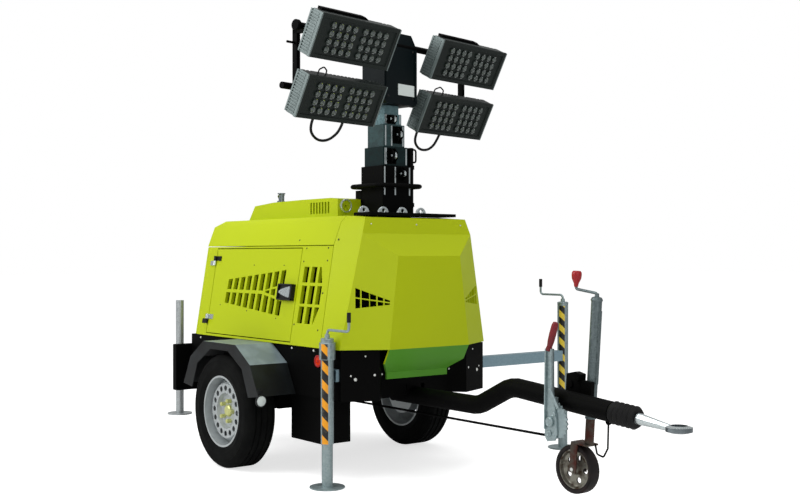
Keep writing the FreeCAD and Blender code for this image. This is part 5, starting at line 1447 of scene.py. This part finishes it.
@dataclass
class Drawbar:
    """Drawbar with its overrun coupling, brake lever and jockey wheel."""

    nodes: dict[str, Any]
    lever_x: float = 1850.0
    pivot_z: float = 413.0
    jockey_foot: tuple[float, float, float] = (1935.0, 92.0, 480.0)
    jockey_lean: float = 4.0
    jockey_axle: tuple[float, float, float] = (-62.0, 0.0, -298.0)
    hook_x: float = 2116.0

    @property
    def jockey_place(self) -> Matrix:
        """Placement of the jockey wheel's leaning tube at the drawbar's level."""
        return Matrix.Translation(self.jockey_foot) @ Matrix.Rotation(math.radians(self.jockey_lean), 4, "Y")

    def build(self) -> None:
        """Dress the drawbar."""
        painted(self.nodes, DEEP_BLACK, "drawbar")
        softened(self.nodes, "jockey_clamp", "chassis", 3.0, [DEEP_BLACK])
        softened(self.nodes, "coupling_bellows", "chassis", 2.0, [BELLOWS])
        # The eye's ring is one forging: its upward faces keep the bright plating and its other faces take the darker
        # chrome, painted highlight and painted shade
        softened(self.nodes, "towing_eye", "chassis", 1.5, [BRIGHT, CHROME],
                 lambda centre, normal: 1 if centre.x > 2432 and normal.z < 0.8 else 0)
        softened(self.nodes, "jockey_leg", "jockey_leg", 1.5, [RUSTY])
        self.brake_lever()
        self.jockey_tube()
        self.jockey_wheel()
        self.clamp_housing()
        self.safety_hook()

    def brake_lever(self) -> None:
        """Channelled lever with its leaning red grip, toothed sector, pivots and pawl."""
        lever = Solid()
        x = self.lever_x
        flat = Matrix(((1, 0, 0, 0), (0, 0, -1, -74), (0, 1, 0, 0), (0, 0, 0, 1)))
        lever.plate([(x - 26, 341), (x - 14, 325), (x + 30, 333), (x + 44, 362), (x + 40, 430), (x + 22, 520),
                     (x + 20, 733), (x - 20, 733), (x - 26, 380)], flat, 8, 1.5)
        lever.plate([(x - 26, 380), (x - 20, 733), (x - 14, 733), (x - 20, 380)], flat, 18, 1)
        lever.plate([(x + 14, 733), (x + 20, 733), (x + 22, 520), (x + 16, 520)], flat, 18, 1)
        teeth = [(x + 4 + radius * math.cos(turn), self.pivot_z + radius * math.sin(turn)) for radius, turn in
                 ((96 if k % 2 else 87, math.radians(-46 + 6.5 * k)) for k in range(20))]
        lever.plate([(x - 38, 345), (x + 20, 338), *teeth, (x - 38, 522)],
                    flat @ Matrix.Translation((0, 0, -7.5)), 7)
        lever.block((x - 38, -68, 461), (x + 16, -44, 519), None, 2)
        out = Vector((0, -1, 0))
        for dx, z, radius, length in ((4, self.pivot_z, 22, 20), (-2, 362, 15, 16), (26, 448, 12, 16)):
            place = facing(Vector((x + dx, -76, z)), out)
            lever.turned([(0, 0), (radius, 0), (radius, length - 5), (radius - 5, length), (radius - 11, length - 2),
                          (0, length - 2)], place, 32)
        lever.rod(Vector((x + 2, -70, self.pivot_z)), Vector((x + 2, -62, self.pivot_z)), 12)
        lever.rod(Vector((x + 6, -90, 560)), Vector((x + 52, -84, 476)), 8)
        lever.finish = 1
        foot, tip = Vector((x - 10, -78, 724)), Vector((x + 34, -78, 852))
        lever.turned([(0, 0), (13, 0), (15, 8), (12, 20), (15, 44), (16, 80), (15, 118), (11, 132), (0, 136)],
                     facing(foot, tip - foot), 32)
        made = lever.piece("brake_lever_detail", "chassis", ZINC, RED)
        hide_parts("brake_lever")

    def jockey_tube(self) -> None:
        """Jockey tube with its gear cap, bent crank and red knob."""
        place = self.jockey_place
        tube = Solid()
        tube.turned([(21, -60), (24, -60), (24, 464), (21, 464)], place, 40, ring=True)
        tube.turned([(0, 462), (26, 462), (27, 468), (22, 478), (10, 482), (9, 496), (0, 496)], place, 36)
        tube.block((20, -8, 96), (28, 8, 420), place, 2)
        tip = Vector((-126, 0, 504))
        tube.pipe([place @ point for point in (Z_WAY * 478, Z_WAY * 496, tip, tip + Z_WAY * 26)], 6.5, 12, 18)
        tube.finish = 1
        tube.turned([(0, 10), (9, 10), (11, 24), (21, 46), (23, 62), (22, 74), (17, 81), (0, 82)],
                    place @ Matrix.Translation(tip), 36)
        made = tube.piece("jockey_tube_detail", "chassis", JOCKEY_ZINC, RED_TRIM)
        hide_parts("jockey_tube")

    def jockey_wheel(self) -> None:
        """Jockey wheel: solid tyre on a dished disc with round holes, and its hub."""
        turn = self.jockey_place @ Matrix.Translation(self.jockey_axle)
        place = turn @ Matrix.Rotation(math.pi / 2, 4, "X")
        wheel = Solid()
        wheel.turned([(88, -22), (92, -28), (103, -30), (109, -25), (110, -18), (110, 18), (109, 25), (103, 30),
                      (92, 28), (88, 22)], place, 64, ring=True)
        wheel.finish = 1
        wheel.turned([(9, -26), (20, -26), (24, -20), (27, -6), (34, -4), (70, -4), (78, -8), (83, -22), (89, -22),
                      (89, 22), (83, 22), (78, 8), (70, 4), (34, 4), (27, 6), (24, 20), (20, 26), (9, 26)], place, 64,
                     ring=True)
        holes = Solid()
        for k in range(5):
            spot = place @ Matrix.Rotation(2 * math.pi * k / 5, 4, "Z") @ Matrix.Translation((52, 0, -12))
            holes.turned([(0, 0), (13, 0), (13, 24), (0, 24)], spot, 28)
        made = wheel.piece("jockey_wheel_detail", "jockey_wheel", SOLID_TYRE, WHEEL_DISC)
        holes.carve(made)
        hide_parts("jockey_wheel")
        axle = Solid()
        axle.rod(place @ Vector((0, 0, -40)), place @ Vector((0, 0, 40)), 8.5, 28)
        axle.piece("jockey_axle", "jockey_leg", BOLT)

    def clamp_housing(self) -> None:
        """Black housing of the cable and clamp between the lever and the jockey tube."""
        place = self.jockey_place
        housing = Solid()
        outline = ((-112, 52), (-60, 36), (-27, 36), (-27, 136), (-66, 142), (-112, 128))
        housing.prism(*[[place @ Vector((x, y, z)) for x, z in outline] for y in (-48, -14)])
        housing.rod(place @ Vector((-40, -50, 112)), place @ Vector((-40, -62, 112)), 12)
        housing.rod(place @ Vector((-84, -50, 84)), place @ Vector((-84, -56, 84)), 16)
        housing.piece("clamp_housing", "chassis", DEEP_BLACK)

    def safety_hook(self) -> None:
        """Hooked end of the breakaway wire, which hangs from the coupling."""
        hook = Solid()
        route = ((0, 0), (-4, -118), (-28, -158), (-64, -150), (-75, -108))
        hook.pipe([Vector((self.hook_x + x, 0, 440 + z)) for x, z in route], 4, 10)
        hook.turned([(9, -4), (14, -4), (14, 4), (9, 4)], facing(Vector((self.hook_x, 0, 436)), Y_WAY), 24, ring=True)
        hook.piece("safety_hook", "chassis", DEEP_BLACK)


@dataclass
class Studio:
    """Pale floor, soft lamps and the camera at the photograph's view."""

    eye: tuple[float, float, float] = (2.7712, -3.5768, 0.6925)
    heading: tuple[float, float, float] = (-0.7877, 0.6161, 0.0)
    frame_width: int = 800
    focal_pixels: float = 1103.0
    horizon_drop: float = 5.23
    ground: float = -0.45
    floor_reach: float = 60.0
    floor_tone: float = 0.80
    floor_glow: float = 0.68
    soft_light: float = 0.44
    lamps: tuple[tuple[Any, ...], ...] = (
        ("overhead", (-1.6, -0.6, 5.2), (-2.2, 0.0, 0.3), 4.2, 150),
        ("key", (-3.4, -4.4, 3.0), (-2.0, 0.0, 0.5), 3.0, 118),
        ("fill", (2.6, -1.6, 1.6), (-1.8, 0.0, 0.4), 3.0, 30))

    def build(self) -> None:
        """Make the floor, the world, the lamps and the camera."""
        self.floor()
        self.world()
        for name, place, target, size, watts in self.lamps:
            self.lamp(name, place, target, size, watts)
        self.camera()

    def floor(self) -> None:
        """Pale floor that keeps the object's shadow and meets the backdrop without a line."""
        mesh = bpy.data.meshes.new("studio_floor")
        mesh.from_pydata([(x * self.floor_reach, y * self.floor_reach, self.ground)
                          for x, y in ((-1, -1), (1, -1), (1, 1), (-1, 1))], [], [(0, 1, 2, 3)])
        floor = linked("studio_floor", mesh)
        made = bpy.data.materials.new("studio_floor")
        made.use_nodes = True
        tree = made.node_tree
        tree.nodes.clear()
        matt = add_node(tree, "ShaderNodeBsdfDiffuse", {"Color": (*[self.floor_tone] * 3, 1.0)})
        glow = add_node(tree, "ShaderNodeEmission", {"Color": (1, 1, 1, 1), "Strength": self.floor_glow})
        seen = add_node(tree, "ShaderNodeLightPath")
        dark = add_node(tree, "ShaderNodeEmission", {"Strength": 0.0})
        share = add_node(tree, "ShaderNodeMixShader", {0: seen.outputs["Is Camera Ray"], 1: dark.outputs[0],
                                                       2: glow.outputs[0]})
        both = add_node(tree, "ShaderNodeAddShader", {0: matt.outputs[0], 1: share.outputs[0]})
        add_node(tree, "ShaderNodeOutputMaterial", {"Surface": both.outputs[0]})
        floor.data.materials.append(made)

    def world(self) -> None:
        """White backdrop for the camera and for what is seen through, and a soft grey light for the rest."""
        world = bpy.data.worlds.new("studio")
        bpy.context.scene.world = world
        world.use_nodes = True
        tree = world.node_tree
        tree.nodes.clear()
        rays = add_node(tree, "ShaderNodeLightPath")
        shown = add_node(tree, "ShaderNodeMath", {0: rays.outputs["Is Camera Ray"],
                                                  1: rays.outputs["Is Transmission Ray"]}, operation="MAXIMUM")
        soft = add_node(tree, "ShaderNodeBackground", {"Color": (1, 1, 1, 1), "Strength": self.soft_light})
        white = add_node(tree, "ShaderNodeBackground", {"Color": (1, 1, 1, 1), "Strength": 1.0})
        mix = add_node(tree, "ShaderNodeMixShader", {0: shown.outputs[0], 1: soft.outputs[0], 2: white.outputs[0]})
        add_node(tree, "ShaderNodeOutputWorld", {"Surface": mix.outputs[0]})

    def lamp(self, name: str, place: Sequence[float], target: Sequence[float], size: float, watts: float) -> None:
        """Square soft lamp that looks at a target."""
        data = bpy.data.lights.new(name, "AREA")
        data.size = size
        data.energy = watts
        lamp = linked(name, data)
        lamp.location = place
        lamp.rotation_euler = (Vector(target) - Vector(place)).to_track_quat("-Z", "Y").to_euler()

    def camera(self) -> None:
        """Camera at the photograph's place, level, with its horizon a little below the middle."""
        data = bpy.data.cameras.new("photo_view")
        data.sensor_width = 36.0
        data.lens = self.focal_pixels * data.sensor_width / self.frame_width
        data.shift_y = self.horizon_drop / self.frame_width
        data.clip_end = 200.0
        camera = linked("photo_view", data)
        camera.location = self.eye
        camera.rotation_euler = Vector(self.heading).to_track_quat("-Z", "Y").to_euler()
        bpy.context.scene.camera = camera


def main() -> None:
    """Load the frame, dress every sub-assembly and set up the studio."""
    logging.basicConfig(level=logging.INFO, format="%(name)s: %(message)s")
    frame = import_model()
    nodes = frame["nodes"]
    fasteners = Fasteners()
    Canopy(nodes, fasteners).build()
    Chassis(nodes, fasteners).build()
    for side in Side:
        Wheel(nodes, side).build()
    Mast(nodes).build()
    LampHead(nodes, fasteners).build()
    Stabilisers(nodes).build()
    Drawbar(nodes).build()
    fasteners.build()
    Studio().build()
    bpy.context.scene.view_settings.view_transform = "Standard"


if __name__ == "__main__":
    main()
